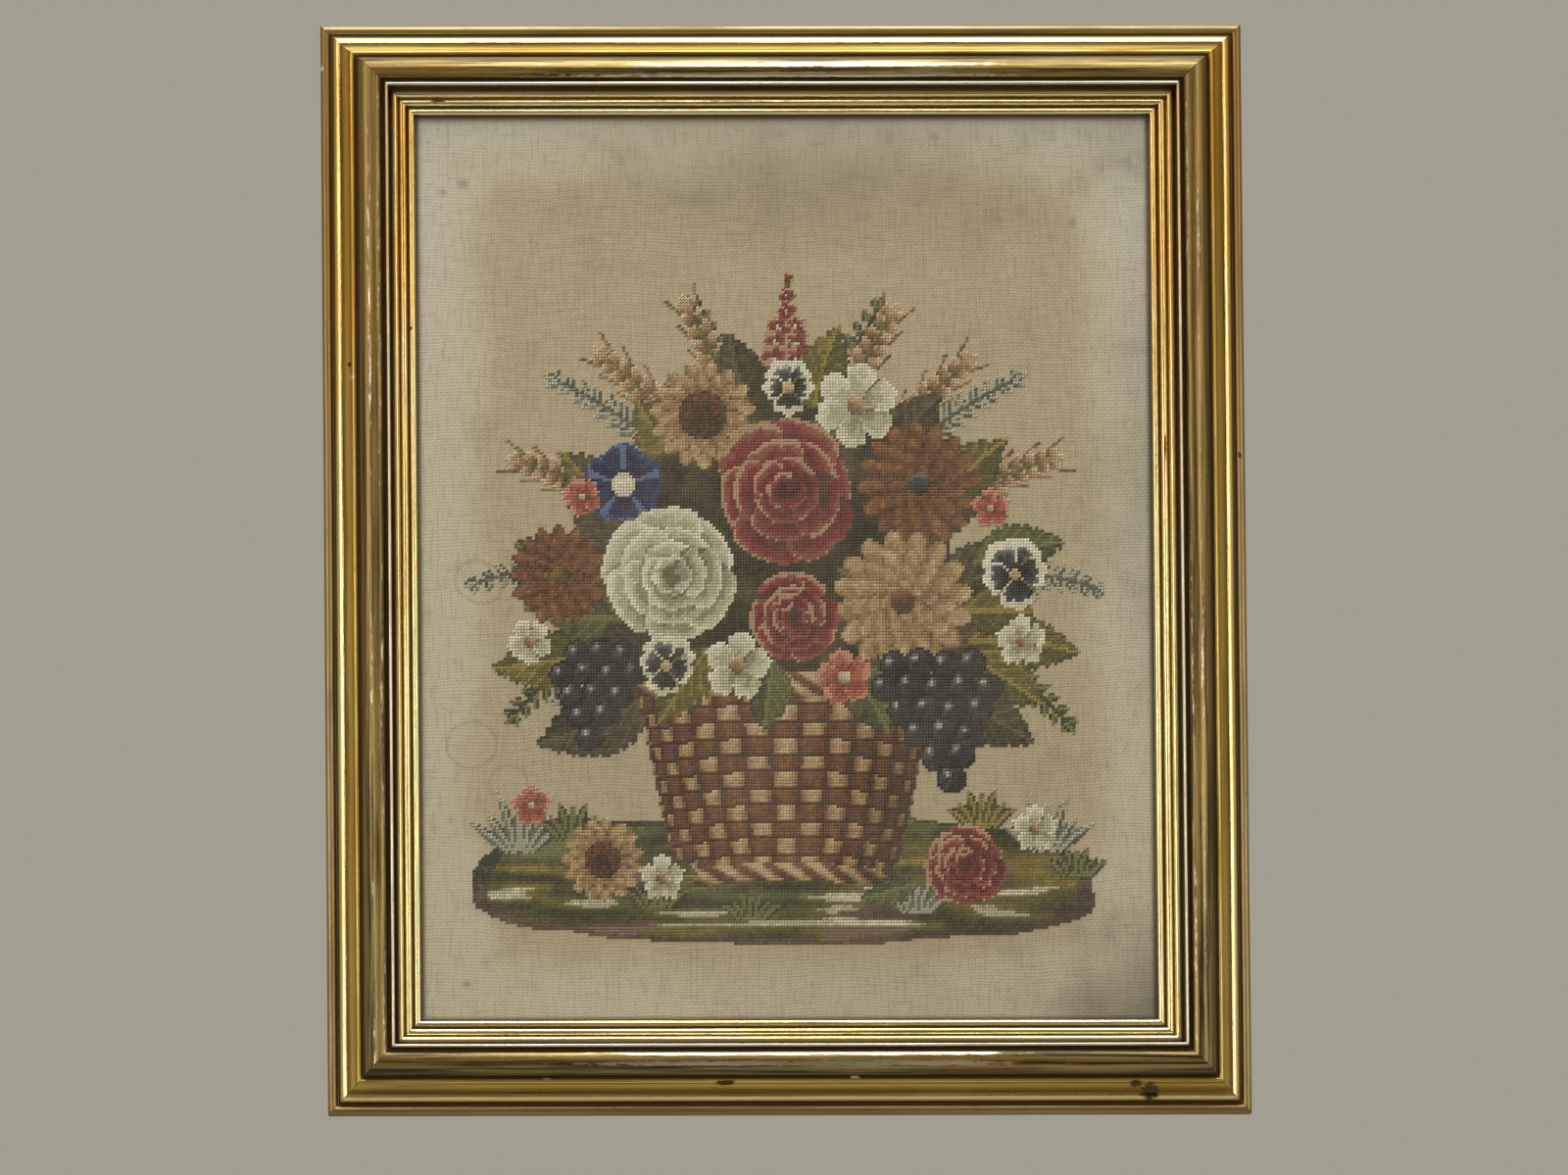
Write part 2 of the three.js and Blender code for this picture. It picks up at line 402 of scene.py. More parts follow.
def glazedSilver(name, glaze, rubbed, rubLevel, coat):
    # Silver leaf under a brown varnish, which is rubbed through in ragged streaks along the crown; the
    # rubbed silver there is also a painted highlight.
    s = Shading(name)
    streaks, rubs, stretches, bands, flecks = s.noises(s.mapPlace("grain"), silverGrain)
    grime = s.attribute("grime")
    rubbedAndLit = s.times(s.attribute("crest"), 0.45)
    for level, share in ((rubs, 0.9), (stretches, 0.5), (streaks, 0.35)):
        rubbedAndLit = s.plus(rubbedAndLit, s.times(level, share))
    rubbedAndLit = s.fade(rubbedAndLit, rubLevel, rubLevel + 0.12)
    pale, dark = tuple(c * 1.9 for c in glaze), tuple(c * 0.2 for c in glaze)
    warm = (glaze[0] * 1.3, glaze[1], glaze[2] * 0.65)
    streaky = s.plus(s.times(streaks, 0.5), s.times(bands, 0.5))
    colour = s.blend(s.fade(streaky, 0.43, 0.57), pale, dark)
    colour = s.tint(colour, stretches, 0.52, 0.66, 0.5, warm)
    # painted warm reflection on the uprights
    colour = s.blend(s.times(s.attribute("warmReflection"), 0.5), colour, warm)
    colour = s.blend(rubbedAndLit, colour, rubbed)
    # grime and painted shade darken the glaze
    colour = s.blend(s.times(grime, 0.85), colour, (0.05, 0.033, 0.014))
    colour = s.tint(colour, flecks, 0.765, 0.8, 1.0, (0.04, 0.03, 0.02))
    s.put("Base Color", colour)
    s.put("Metallic", s.fade(rubbedAndLit, 0.0, 1.0, 0.75, 1.0))
    s.put("Roughness", s.plus(s.fade(streaks, 0.3, 0.8, 0.25, 0.42), s.times(grime, 0.2)))
    s.shine(0.2, coat, 0.16)
    s.bump(s.plus(streaks, rubs), 0.00022, 0.9)
    return s.material


def plainWood(name, early, late, soil, roughness):
    s = Shading(name)
    place = s.mapPlace("grain")
    grain = s.noiseAt(place, (5, 300, 1), 6.0, 0.6)
    dirt = s.noiseAt(place, (14, 30, 1), 4.0, 0.55, (2.2, 0.4, 0))
    colour = s.blend(s.fade(grain, 0.35, 0.7), early, late)
    s.put("Base Color", s.tint(colour, dirt, 0.45, 0.8, 0.55, soil))
    s.put("Roughness", s.fade(grain, 0.3, 0.8, *roughness))
    s.bump(grain, 0.0003, 0.6)
    return s.material


silverFinishes = {
    # glaze, rubbed silver, level that is rubbed through, coat
    "darkFlank": ((0.125, 0.090, 0.032), (0.66, 0.62, 0.52), 1.20, 0.4),
    "oliveCrown": ((0.18, 0.130, 0.043), (0.66, 0.60, 0.45), 1.21, 0.3),
}
woodFinishes = {
    # early wood, late wood, soil, roughness from and to
    "bareWood": ((0.42, 0.28, 0.15), (0.26, 0.155, 0.08), (0.16, 0.115, 0.07), (0.62, 0.82)),
    "ochreSide": ((0.33, 0.21, 0.085), (0.21, 0.125, 0.05), (0.13, 0.085, 0.045), (0.45, 0.68)),
}
finishes = {name: giltFinish(name, tone) for name, tone in giltFinishes.items()}
finishes.update({name: glazedSilver(name, *row) for name, row in silverFinishes.items()})
finishes.update({name: plainWood(name, *row) for name, row in woodFinishes.items()})
finishNames = list(finishes)
print("finishes made")


# the mitred rails

# A member is an arc of an ellipse. Its centre is in from the frame's outer edge and its foot is up from the
# back, both in millimetres. Degrees that fall make it round, and degrees that rise make it hollow.
# The grime at its outer and inner ends darkens the gilt with dirt, and with painted shade where a neighbour
# rises beside it.
Member = namedtuple("Member", "name centre foot halfWidth rise start end steps finish grimeOut grimeIn")
mouldingSizes = {
    "rebateInset": 35.0,
    "rebateDepth": 18.2,
    "wander": 0.12,  # how far the hand-made face strays from true
    "members": [
        Member("outer bead", 2.9, 7.8, 2.9, 2.6, 215, 0, 14, "bronzedBead", 0.25, 0.25),
        Member("quirk bead", 6.7, 7.6, 0.5, 0.5, 180, 0, 6, "bronzedBead", 0.7, 0.7),
        Member("ovolo", 11.9, 9.8, 4.4, 4.2, 180, 90, 10, "clearGold", 0.6, 0.0),
        Member("cove", 12.0, 20.2, 6.2, 6.6, 270, 340, 10, "coveGold", 0.95, 0.1),
        Member("cove lip", 19.0, 19.0, 1.5, 1.5, 150, 0, 8, "coveGold", 0.0, 0.45),
        Member("quirk", 21.3, 18.9, 0.5, 0.4, 180, 360, 4, "quirkDark", 0.6, 0.6),
        Member("flank", 31.2, 19.6, 9.4, 8.9, 180, 130, 9, "darkFlank", 0.6, 0.0),
        Member("shoulder", 31.2, 19.6, 9.4, 8.9, 125, 92, 7, "oliveCrown", 0.0, 0.0),
        Member("crown", 31.6, 25.4, 4.9, 3.1, 86, 10, 9, "oliveCrown", 0.0, 0.2),
        Member("recess", 37.7, 23.0, 1.2, 0.8, 180, 360, 5, "quirkDark", 0.5, 0.5),
        Member("silver fillet", 40.0, 27.2, 1.0, 1.2, 180, 0, 8, "silverLine", 0.2, 0.2),
    ],
}
slipSizes = {
    "backHeight": 12.0,
    "flangeGap": 0.3,
    "flangeEnd": 42.4,
    "sightInset": 57.6,
    "wander": 0.07,
    "members": [
        Member("first round", 44.9, 18.2, 2.2, 2.6, 180, 0, 12, "slipGold", 0.6, 0.0),
        Member("second round", 50.1, 17.2, 2.0, 1.8, 180, 0, 10, "slipGold", 0.1, 0.1),
        Member("sight bead", 55.5, 15.2, 2.1, 2.3, 180, 0, 12, "slipGold", 0.3, 0.0),
    ],
}

sides = ["top", "right", "bottom", "left"]  # each a quarter turn on from the one before

railMaking = {
    "mitreGap": 0.24,
    "step": 6.0,  # millimetres between sections along a rail
    "grimeAndShadeSpread": (0.1, 0.85),  # the share of a member's arc over which its grime and painted shade change
    "markShift": 0.83,  # metres of grain from one rail to the next, so that no two share their marks
    "swayGrain": (9, 70),  # how close the hand-made wavers lie along the rail and over its face
    "swayShare": 0.6,
    "liftGrain": (14, 55),
    "faceFrom": 4.0,  # millimetres from the back plane, where the wavers begin
    "sharpAngle": 38,  # degrees, past which an edge stays crisp
    "warmReflectionRise": (-0.16, 0.28),  # metres from the middle: the uprights are redder near the top
    "uprightRubAndHighlight": 0.7,  # how much of the crown's rubbing and painted highlight the uprights have
    "middleRubAndHighlight": (1.25, 0.9, 0.04, 0.22),  # the other two, brightest in the middle as a painted highlight: most, loss at the ends, from and to in metres
    "shoulderAt": 3.2,  # millimetres either side of the crown's middle, where it is rubbed most and the painted highlight lies
    "shoulderReach": 2.4,
}

OutlinePoint = namedtuple("OutlinePoint", "across height finish grime", defaults=("bareWood", 0.0))


def memberPoints(member):
    points = []
    for k in range(member.steps + 1):
        t = k / member.steps
        angle = math.radians(member.start + (member.end - member.start) * t)
        across = member.centre + member.halfWidth * math.cos(angle)
        height = member.foot + member.rise * math.sin(angle)
        # how much grime and painted shade, changing across the member
        share = smoothStep(t, *railMaking["grimeAndShadeSpread"])
        grime = member.grimeOut + (member.grimeIn - member.grimeOut) * share
        points.append(OutlinePoint(across, height, member.finish, grime))
    return points


def facePoints(members, firstJoint):
    # The face from its outer side inwards. The strip that ends at a point has that point's finish.
    points = []
    for member in members:
        arc = memberPoints(member)
        joint = "quirkDark" if points else firstJoint
        if member.name in ("shoulder", "crown"):
            joint = member.finish  # these run on smoothly from the member before
        points += [arc[0]._replace(finish=joint)] + arc[1:]
    return points


def mouldingOutline(sizes):
    face = facePoints(sizes["members"], "ochreSide")
    inset, depth = sizes["rebateInset"], sizes["rebateDepth"]
    inner = OutlinePoint(face[-1].across, depth, "quirkDark", 0.5)
    rebate = [OutlinePoint(inset, depth), OutlinePoint(inset, 0.0)]
    return [OutlinePoint(face[0].across, 0.0)] + face + [inner] + rebate


def slipOutline(sizes):
    flangeStart = mouldingSizes["rebateInset"] + sizes["flangeGap"]
    flangeHeight = mouldingSizes["rebateDepth"] - sizes["flangeGap"]
    flange = [
        OutlinePoint(flangeStart, sizes["backHeight"]),
        OutlinePoint(flangeStart, flangeHeight),
        OutlinePoint(sizes["flangeEnd"], flangeHeight, "quirkDark", 0.5),
    ]
    foot = OutlinePoint(sizes["sightInset"], sizes["backHeight"], "quirkDark", 0.5)
    return flange + facePoints(sizes["members"], "quirkDark") + [foot]


def crestLevels(outline):
    # 1 along the two shoulders of the crown, where dusting has rubbed it and a painted highlight lies, and 0
    # away from them
    crown = next(member for member in mouldingSizes["members"] if member.name == "crown")
    levels = []
    for point in outline:
        side = abs(point.across - crown.centre) - railMaking["shoulderAt"]
        side /= railMaking["shoulderReach"]
        levels.append(max(0.0, 1.0 - side * side))
    return levels


def makeRail(name, outline, length, sizes, turns, seed):
    # One mitred length: the outline is extruded section by section, then slanted to 45 degrees at its ends.
    making = railMaking
    bm = bmesh.new()
    ring = [bm.verts.new((0, -point.height * mm, -point.across * mm)) for point in outline]
    loop = [bm.edges.new((ring[k], ring[(k + 1) % len(ring)])) for k in range(len(ring))]
    count = max(2, round(length / (making["step"] * mm)))
    for k in range(count):
        made = bmesh.ops.extrude_edge_only(bm, edges=loop)["geom"]
        fresh = [item for item in made if isinstance(item, bmesh.types.BMVert)]
        freshSet = set(fresh)
        edges = [item for item in made if isinstance(item, bmesh.types.BMEdge)]
        loop = [edge for edge in edges if set(edge.verts) <= freshSet]
        bmesh.ops.translate(bm, verts=fresh, vec=(1 / count, 0, 0))
    bmesh.ops.holes_fill(bm, edges=[edge for edge in bm.edges if edge.is_boundary], sides=0)
    bmesh.ops.recalc_face_normals(bm, faces=bm.faces)

    index = {(round(-p.height * mm, 6), round(-p.across * mm, 6)): k for k, p in enumerate(outline)}
    steps = [math.dist(outline[k][:2], outline[k - 1][:2]) for k in range(1, len(outline))]
    travelled = [0.0] + list(np.cumsum(steps))
    crests = crestLevels(outline)
    grime, crest, warmReflection = [bm.verts.layers.float.new(layer) for layer in ("grime", "crest", "warmReflection")]
    order = bm.verts.layers.int.new("order")
    for vert in bm.verts:
        k = index[(round(vert.co.y, 6), round(vert.co.z, 6))]
        vert[order] = k
        vert[grime] = outline[k].grime
        vert[crest] = crests[k]

    grain = bm.loops.layers.uv.new("grain")
    shift = seed * making["markShift"]
    last = len(outline) - 1
    for face in bm.faces:
        points = [vert[order] for vert in face.verts]
        strip = max(points)
        if min(points) == 0 and strip == last:
            strip = 0
        face.smooth = True
        finish = "bareWood" if len(face.verts) > 4 else outline[strip].finish
        face.material_index = finishNames.index(finish)
        for corner in face.loops:
            k = corner.vert[order]
            over = travelled[last] + steps[0] if strip == 0 and k == 0 else travelled[k]
            corner[grain].uv = (corner.vert.co.x * length + shift, over * mm)

    clearance = making["mitreGap"] / 2 * math.sqrt(2) * mm
    swayAlong, swayOver = making["swayGrain"]
    liftAlong, liftOver = making["liftGrain"]
    for vert in bm.verts:
        start = -vert.co.z + clearance
        along = start + (length - 2 * start) * vert.co.x - length / 2
        sway = noise.noise(Vector((along * swayAlong, vert.co.z * swayOver, seed * 3.7)))
        lift = noise.noise(Vector((along * liftAlong, vert.co.z * liftOver, seed * 5.3 + 9)))
        isFace = -vert.co.y > making["faceFrom"] * mm and outline[vert[order]].finish != "bareWood"
        stray = sizes["wander"] * mm if isFace else 0.0
        vert.co = (along, vert.co.y - lift * stray, vert.co.z + sway * stray * making["swayShare"])
    sharp = math.radians(making["sharpAngle"])
    for edge in bm.edges:
        if len(edge.link_faces) == 2 and edge.calc_face_angle(0) > sharp:
            edge.smooth = False
    bmesh.ops.triangulate(bm, faces=[face for face in bm.faces if len(face.verts) > 4])
    reach = frameHeight / 2 if turns % 2 == 0 else frameWidth / 2
    place = Matrix.Translation((0, 0, middleUp)) @ Matrix.Rotation(math.radians(90) * turns, 4, "Y")
    bm.transform(place @ Matrix.Translation((0, 0, reach)))
    most, loss, rubStart, rubEnd = making["middleRubAndHighlight"]
    # the uprights get less of the crown's rubbing and painted highlight; the top and bottom rails keep it
    # brightest in the middle
    for vert in bm.verts:
        if turns % 2:
            vert[warmReflection] = smoothStep(vert.co.z - middleUp, *making["warmReflectionRise"])
            vert[crest] *= making["uprightRubAndHighlight"]
        else:
            vert[crest] *= most - loss * smoothStep(abs(vert.co.x), rubStart, rubEnd)
    rail = finished(name, bm)
    for finish in finishNames:
        rail.data.materials.append(finishes[finish])
    return rail


def makeRails():
    for turns, side in enumerate(sides):
        length = frameHeight if turns % 2 else frameWidth
        outline = mouldingOutline(mouldingSizes)
        moulding = makeRail("giltMoulding_" + side, outline, length, mouldingSizes, turns, turns + 1)
        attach(moulding, "root")
        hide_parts("moulding_" + side)
        outline = slipOutline(slipSizes)
        slip = makeRail("giltSlip_" + side, outline, length, slipSizes, turns, turns + 6)
        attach(slip, "root")
        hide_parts("slip_" + side)
    print("rails made")


# the stretched canvas

clothSizes = {
    "inset": 36.0,  # from the frame's outer edge, inside the rebate
    "frontHeight": 11.7,
    "thickness": 1.1,
    "cells": (84, 102),
    "pitchAcross": 1.83,  # the threads, and so the stitches
    "pitchUp": 1.90,
    "rippleShoulder": 80.0,
    "ripples": [
        # amplitude, waves across, waves up, phase
        (0.32, 1.5, 0.4, 0.6),
        (0.22, 0.5, 2.1, 2.4),
        (0.12, 2.6, 1.7, 4.1),
    ],
    "stainsAndShade": [
        # grey spots, then broad ovals of painted shade: across and up from the middle, half width, half
        # height, strength
        (-197.7, 242.0, 7.0, 6.0, 0.55), (-209.8, 236.0, 5.0, 4.0, 0.4), (-198.9, -261.0, 5.0, 5.0, 0.5),
        (94.6, 271.0, 5.0, 4.0, 0.35), (179.5, 217.0, 4.0, 7.0, 0.4), (-120.0, 205.0, 16.0, 9.0, 0.16),
        (60.0, 120.0, 22.0, 14.0, 0.10), (150.0, 150.0, 15.0, 24.0, 0.10), (-60.0, 232.0, 30.0, 8.0, 0.12),
        # painted shade from here on: darker at the bottom right corner, along the top, down the right side,
        # along the bottom and at the top right corner
        (250.0, -300.0, 150.0, 140.0, 0.80), (20.0, 245.0, 240.0, 75.0, 0.32),
        (240.0, 60.0, 66.0, 250.0, 0.38), (70.0, -275.0, 180.0, 50.0, 0.14),
        (215.0, 270.0, 60.0, 60.0, 0.20),
    ],
    "tideMarks": [
        # pale rings with a darker edge: across, up, radius, strength
        (-188.6, -9.2, 14.0, 0.5), (-99.4, 118.4, 8.0, 0.45),
        (-194.7, -111.0, 15.0, 0.5), (-171.6, -135.6, 13.0, 0.4),
    ],
    # painted shadow, with a line of dust, on the cloth along the slip: millimetres in from the sight edge
    # where it starts and is full, how much, colour
    "slipShadeAndDust": {"from": 4.2, "full": 0.6, "most": 0.88, "shade": (0.06, 0.045, 0.022)},
}
clothMargin = {
    # the paler cloth along the slip, in millimetres in from it
    "pale": (52, 22),  # none past the first, full before the second
    "grey": (26, 0),
    "greyRise": (-60, 160),  # greyer towards the top right
    "endsWider": 4,
    "cornerRound": (22, 1.35, 1.95),
    "wander": [(0.011, 2.0, 14), (0.05, 5.0, 5)],  # how fine, seed, how far
}
clothGrain = {
    # stretch over the picture, detail, roughness, shift
    "drift": ((11, 0, 11), 2.0),
    "wobble": ((120, 0, 120), 2.0, 0.55, (0.4, 0, 0.1)),
    "slubs": ((62, 0, 480), 3.0, 0.55, (0.3, 0, 0.7)),
    "slubsUp": ((500, 0, 60), 3.0, 0.55, (0.9, 0, 0.2)),
    "mottle": ((26, 0, 26), 4.0, 0.55, (0.5, 0, 0.8)),
}
clothTones = {
    # between the threads, darker as painted shade, and on top of them
    "toned": ((0.242, 0.202, 0.125), (0.338, 0.286, 0.181)),
    "pale": ((0.327, 0.290, 0.206), (0.423, 0.380, 0.279)),
    "grey": ((0.344, 0.324, 0.273), (0.430, 0.407, 0.350)),
}
sheetWidth = frameWidth / mm - 2 * clothSizes["inset"]
sheetHeight = frameHeight / mm - 2 * clothSizes["inset"]
halfSightAcross = frameWidth / mm / 2 - slipSizes["sightInset"]
halfSightUp = frameHeight / mm / 2 - slipSizes["sightInset"]


def clothRipple(across, up):
    # Millimetres that the cloth stands forwards of flat, at millimetres from the picture's middle.
    inside = min(halfSightAcross - abs(across), halfSightUp - abs(up))
    hold = smoothStep(inside, 0, clothSizes["rippleShoulder"])
    ripple = 0.0
    for amplitude, wavesAcross, wavesUp, phase in clothSizes["ripples"]:
        turns = wavesAcross * across / sheetWidth + wavesUp * up / sheetHeight
        ripple += amplitude * (1 + math.sin(2 * math.pi * turns + phase)) / 2
    return hold * ripple


def canvasFinish():
    s = Shading("evenWeave")
    place = s.objectPlace((1, 1, 1), (0, 0, -middleUp))
    parts = s.node("ShaderNodeSeparateXYZ")
    s.feed(parts.inputs[0], place)
    across, _, up = parts.outputs
    drift, wobble, slubs, slubsUp, mottle = s.noises(place, clothGrain)
    sway = s.plus(s.times(s.minus(drift, 0.5), 0.012), s.times(s.minus(wobble, 0.5), 0.0007))
    sines, halfSines = [], []
    for level, pitch in ((across, clothSizes["pitchAcross"]), (up, clothSizes["pitchUp"])):
        turn = s.times(s.plus(level, sway), 2 * math.pi / (pitch * mm))
        sines.append(s.maths("SINE", turn))
        halfSines.append(s.maths("SINE", s.times(turn, 0.5)))
    over = s.times(s.times(*halfSines), 0.8)  # one thread is on top at every other crossing
    threads = s.maths("MAXIMUM", s.plus(sines[0], over), s.minus(sines[1], over))
    ridge = s.fade(threads, -1.0, 1.1)
    # darker between the threads, as painted shade
    toned, pale, grey = [s.blend(ridge, *tones) for tones in clothTones.values()]
    colour = s.blend(s.attribute("margin"), toned, pale)
    colour = s.blend(s.times(s.attribute("edge"), 0.8), colour, grey)
    for level, start, end, most, shade in (
        (mottle, 0.5, 0.75, 0.20, (0.37, 0.325, 0.235)), (mottle, 0.48, 0.25, 0.18, (0.155, 0.125, 0.08)),
        (slubs, 0.42, 0.8, 0.28, (0.42, 0.37, 0.265)), (slubs, 0.5, 0.2, 0.28, (0.13, 0.105, 0.068)),
        (slubsUp, 0.46, 0.75, 0.30, (0.145, 0.117, 0.08)), (slubsUp, 0.5, 0.25, 0.22, (0.42, 0.37, 0.265)),
    ):
        colour = s.tint(colour, level, start, end, most, shade)
    cloudy = s.times(mottle, 0.9)
    # grey spots, and the broad painted shade
    for spotAcross, spotUp, halfAcross, halfUp, strength in clothSizes["stainsAndShade"]:
        reach = s.plus(s.reachFrom(spotAcross, spotUp, halfAcross, halfUp), cloudy)
        colour = s.tint(colour, reach, 1.4, 0.5, strength, (0.125, 0.11, 0.088))
    ragged = s.times(s.minus(mottle, 0.5), 0.9)
    for ringAcross, ringUp, radius, strength in clothSizes["tideMarks"]:
        reach = s.plus(s.reachFrom(ringAcross, ringUp, radius, radius * 0.92), ragged)
        colour = s.tint(colour, reach, 1.0, 0.8, strength * 0.4, (0.38, 0.335, 0.24))
        rim = s.maths("ABSOLUTE", s.minus(reach, 1.0))
        colour = s.tint(colour, rim, 0.13, 0.0, strength * 0.55, (0.16, 0.125, 0.075))
    # painted shadow and dust: the cloth is darker within a few millimetres of the sight edge
    insideAcross = s.minus(halfSightAcross * mm, s.maths("ABSOLUTE", across))
    insideUp = s.minus(halfSightUp * mm, s.maths("ABSOLUTE", up))
    inside = s.maths("MINIMUM", insideAcross, insideUp)
    shadeAndDust = clothSizes["slipShadeAndDust"]
    colour = s.tint(colour, inside, shadeAndDust["from"] * mm, shadeAndDust["full"] * mm, shadeAndDust["most"], shadeAndDust["shade"])
    s.put("Base Color", colour)
    s.put("Roughness", 0.92)
    s.bump(s.plus(threads, s.times(slubs, 1.2)), 0.00016, 0.7)
    return s.material


def marginDistance(x, z):
    # Millimetres in from the slip, less at the corners, along an edge that wanders.
    most, start, end = clothMargin["cornerRound"]
    cornerRound = most * smoothStep(abs(x) / halfSightAcross + abs(z) / halfSightUp, start, end)
    stray = sum(
        noise.noise(Vector((x * fine, z * fine, seed))) * far for fine, seed, far in clothMargin["wander"]
    )
    inside = min(halfSightAcross - abs(x), halfSightUp - abs(z) + clothMargin["endsWider"])
    return inside - cornerRound + stray


def makeCanvas():
    bm = bmesh.new()
    across, up = clothSizes["cells"]
    bmesh.ops.create_grid(bm, x_segments=across, y_segments=up, size=0.5)
    margin = bm.verts.layers.float.new("margin")
    edge = bm.verts.layers.float.new("edge")
    for vert in bm.verts:
        x, z = vert.co.x * sheetWidth, vert.co.y * sheetHeight
        y = clothSizes["frontHeight"] + clothRipple(x, z)
        vert.co = (x * mm, -y * mm, z * mm + middleUp)
        distance = marginDistance(x, z)
        vert[margin] = smoothStep(distance, *clothMargin["pale"])
        towardsTop = smoothStep(z + 0.4 * x, *clothMargin["greyRise"])
        vert[edge] = smoothStep(distance, *clothMargin["grey"]) * towardsTop
    bmesh.ops.recalc_face_normals(bm, faces=bm.faces)
    if sum(face.normal.y for face in bm.faces) > 0:
        bmesh.ops.reverse_faces(bm, faces=bm.faces)
    bake = bm.loops.layers.uv.new("OFBake")
    for face in bm.faces:
        for corner in face.loops:
            place = corner.vert.co
            across, up = place.x / (sheetWidth * mm), (place.z - middleUp) / (sheetHeight * mm)
            corner[bake].uv = (across + 0.5, up + 0.5)
    bmesh.ops.solidify(bm, geom=bm.faces[:], thickness=clothSizes["thickness"] * mm)
    cloth = finished("needleworkCanvas", bm, smooth=True)
    cloth.data.materials.append(canvasFinish())
    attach(cloth, "root")
    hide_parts("canvas")
    return cloth


# the wool, charted stitch by stitch: a basket of mixed flowers on a low bank

chartSizes = {
    "columns": 216,
    "rows": 224,
    "middleAcross": -1.0,  # millimetres from the picture's middle
    "bottomUp": -236.5,
    "seed": 11,
    "patchiness": 0.16,  # how unevenly the shades are worked
    "speckle": 0.05,
}

woolShades = {
    # each wool from its darkest shade to its lightest, as red, green and blue of 255
    "crimson": [(72, 38, 38), (104, 26, 40), (136, 36, 52), (150, 84, 76), (192, 156, 126)],
    "chestnut": [(56, 34, 26), (84, 50, 34), (112, 70, 46), (140, 92, 60), (168, 120, 82)],
    "tan": [(104, 78, 52), (138, 106, 72), (168, 136, 96), (194, 166, 124), (214, 192, 154)],
    "cream": [(116, 112, 92), (158, 156, 130), (194, 190, 160), (220, 216, 190), (238, 234, 214)],
    "charcoal": [(22, 24, 28), (40, 44, 52), (64, 68, 76), (112, 116, 116), (190, 190, 178)],
    "blue": [(18, 26, 56), (28, 44, 92), (42, 70, 126), (98, 126, 158)],
    "coral": [(104, 44, 38), (150, 68, 56), (184, 104, 82), (212, 152, 124)],
    "olive": [(58, 56, 34), (82, 80, 42), (106, 100, 48), (134, 120, 54), (158, 142, 74)],
    "moss": [(50, 54, 38), (72, 78, 50), (96, 102, 62), (126, 130, 82)],
    "darkLeaf": [(42, 38, 28), (60, 54, 38), (80, 72, 52), (104, 94, 70)],
    "greyGreen": [(84, 88, 76), (116, 120, 104), (148, 150, 132), (182, 182, 162)],
    "umber": [(74, 58, 48), (102, 82, 68), (132, 110, 92)],
}
woolNames = list(woolShades)


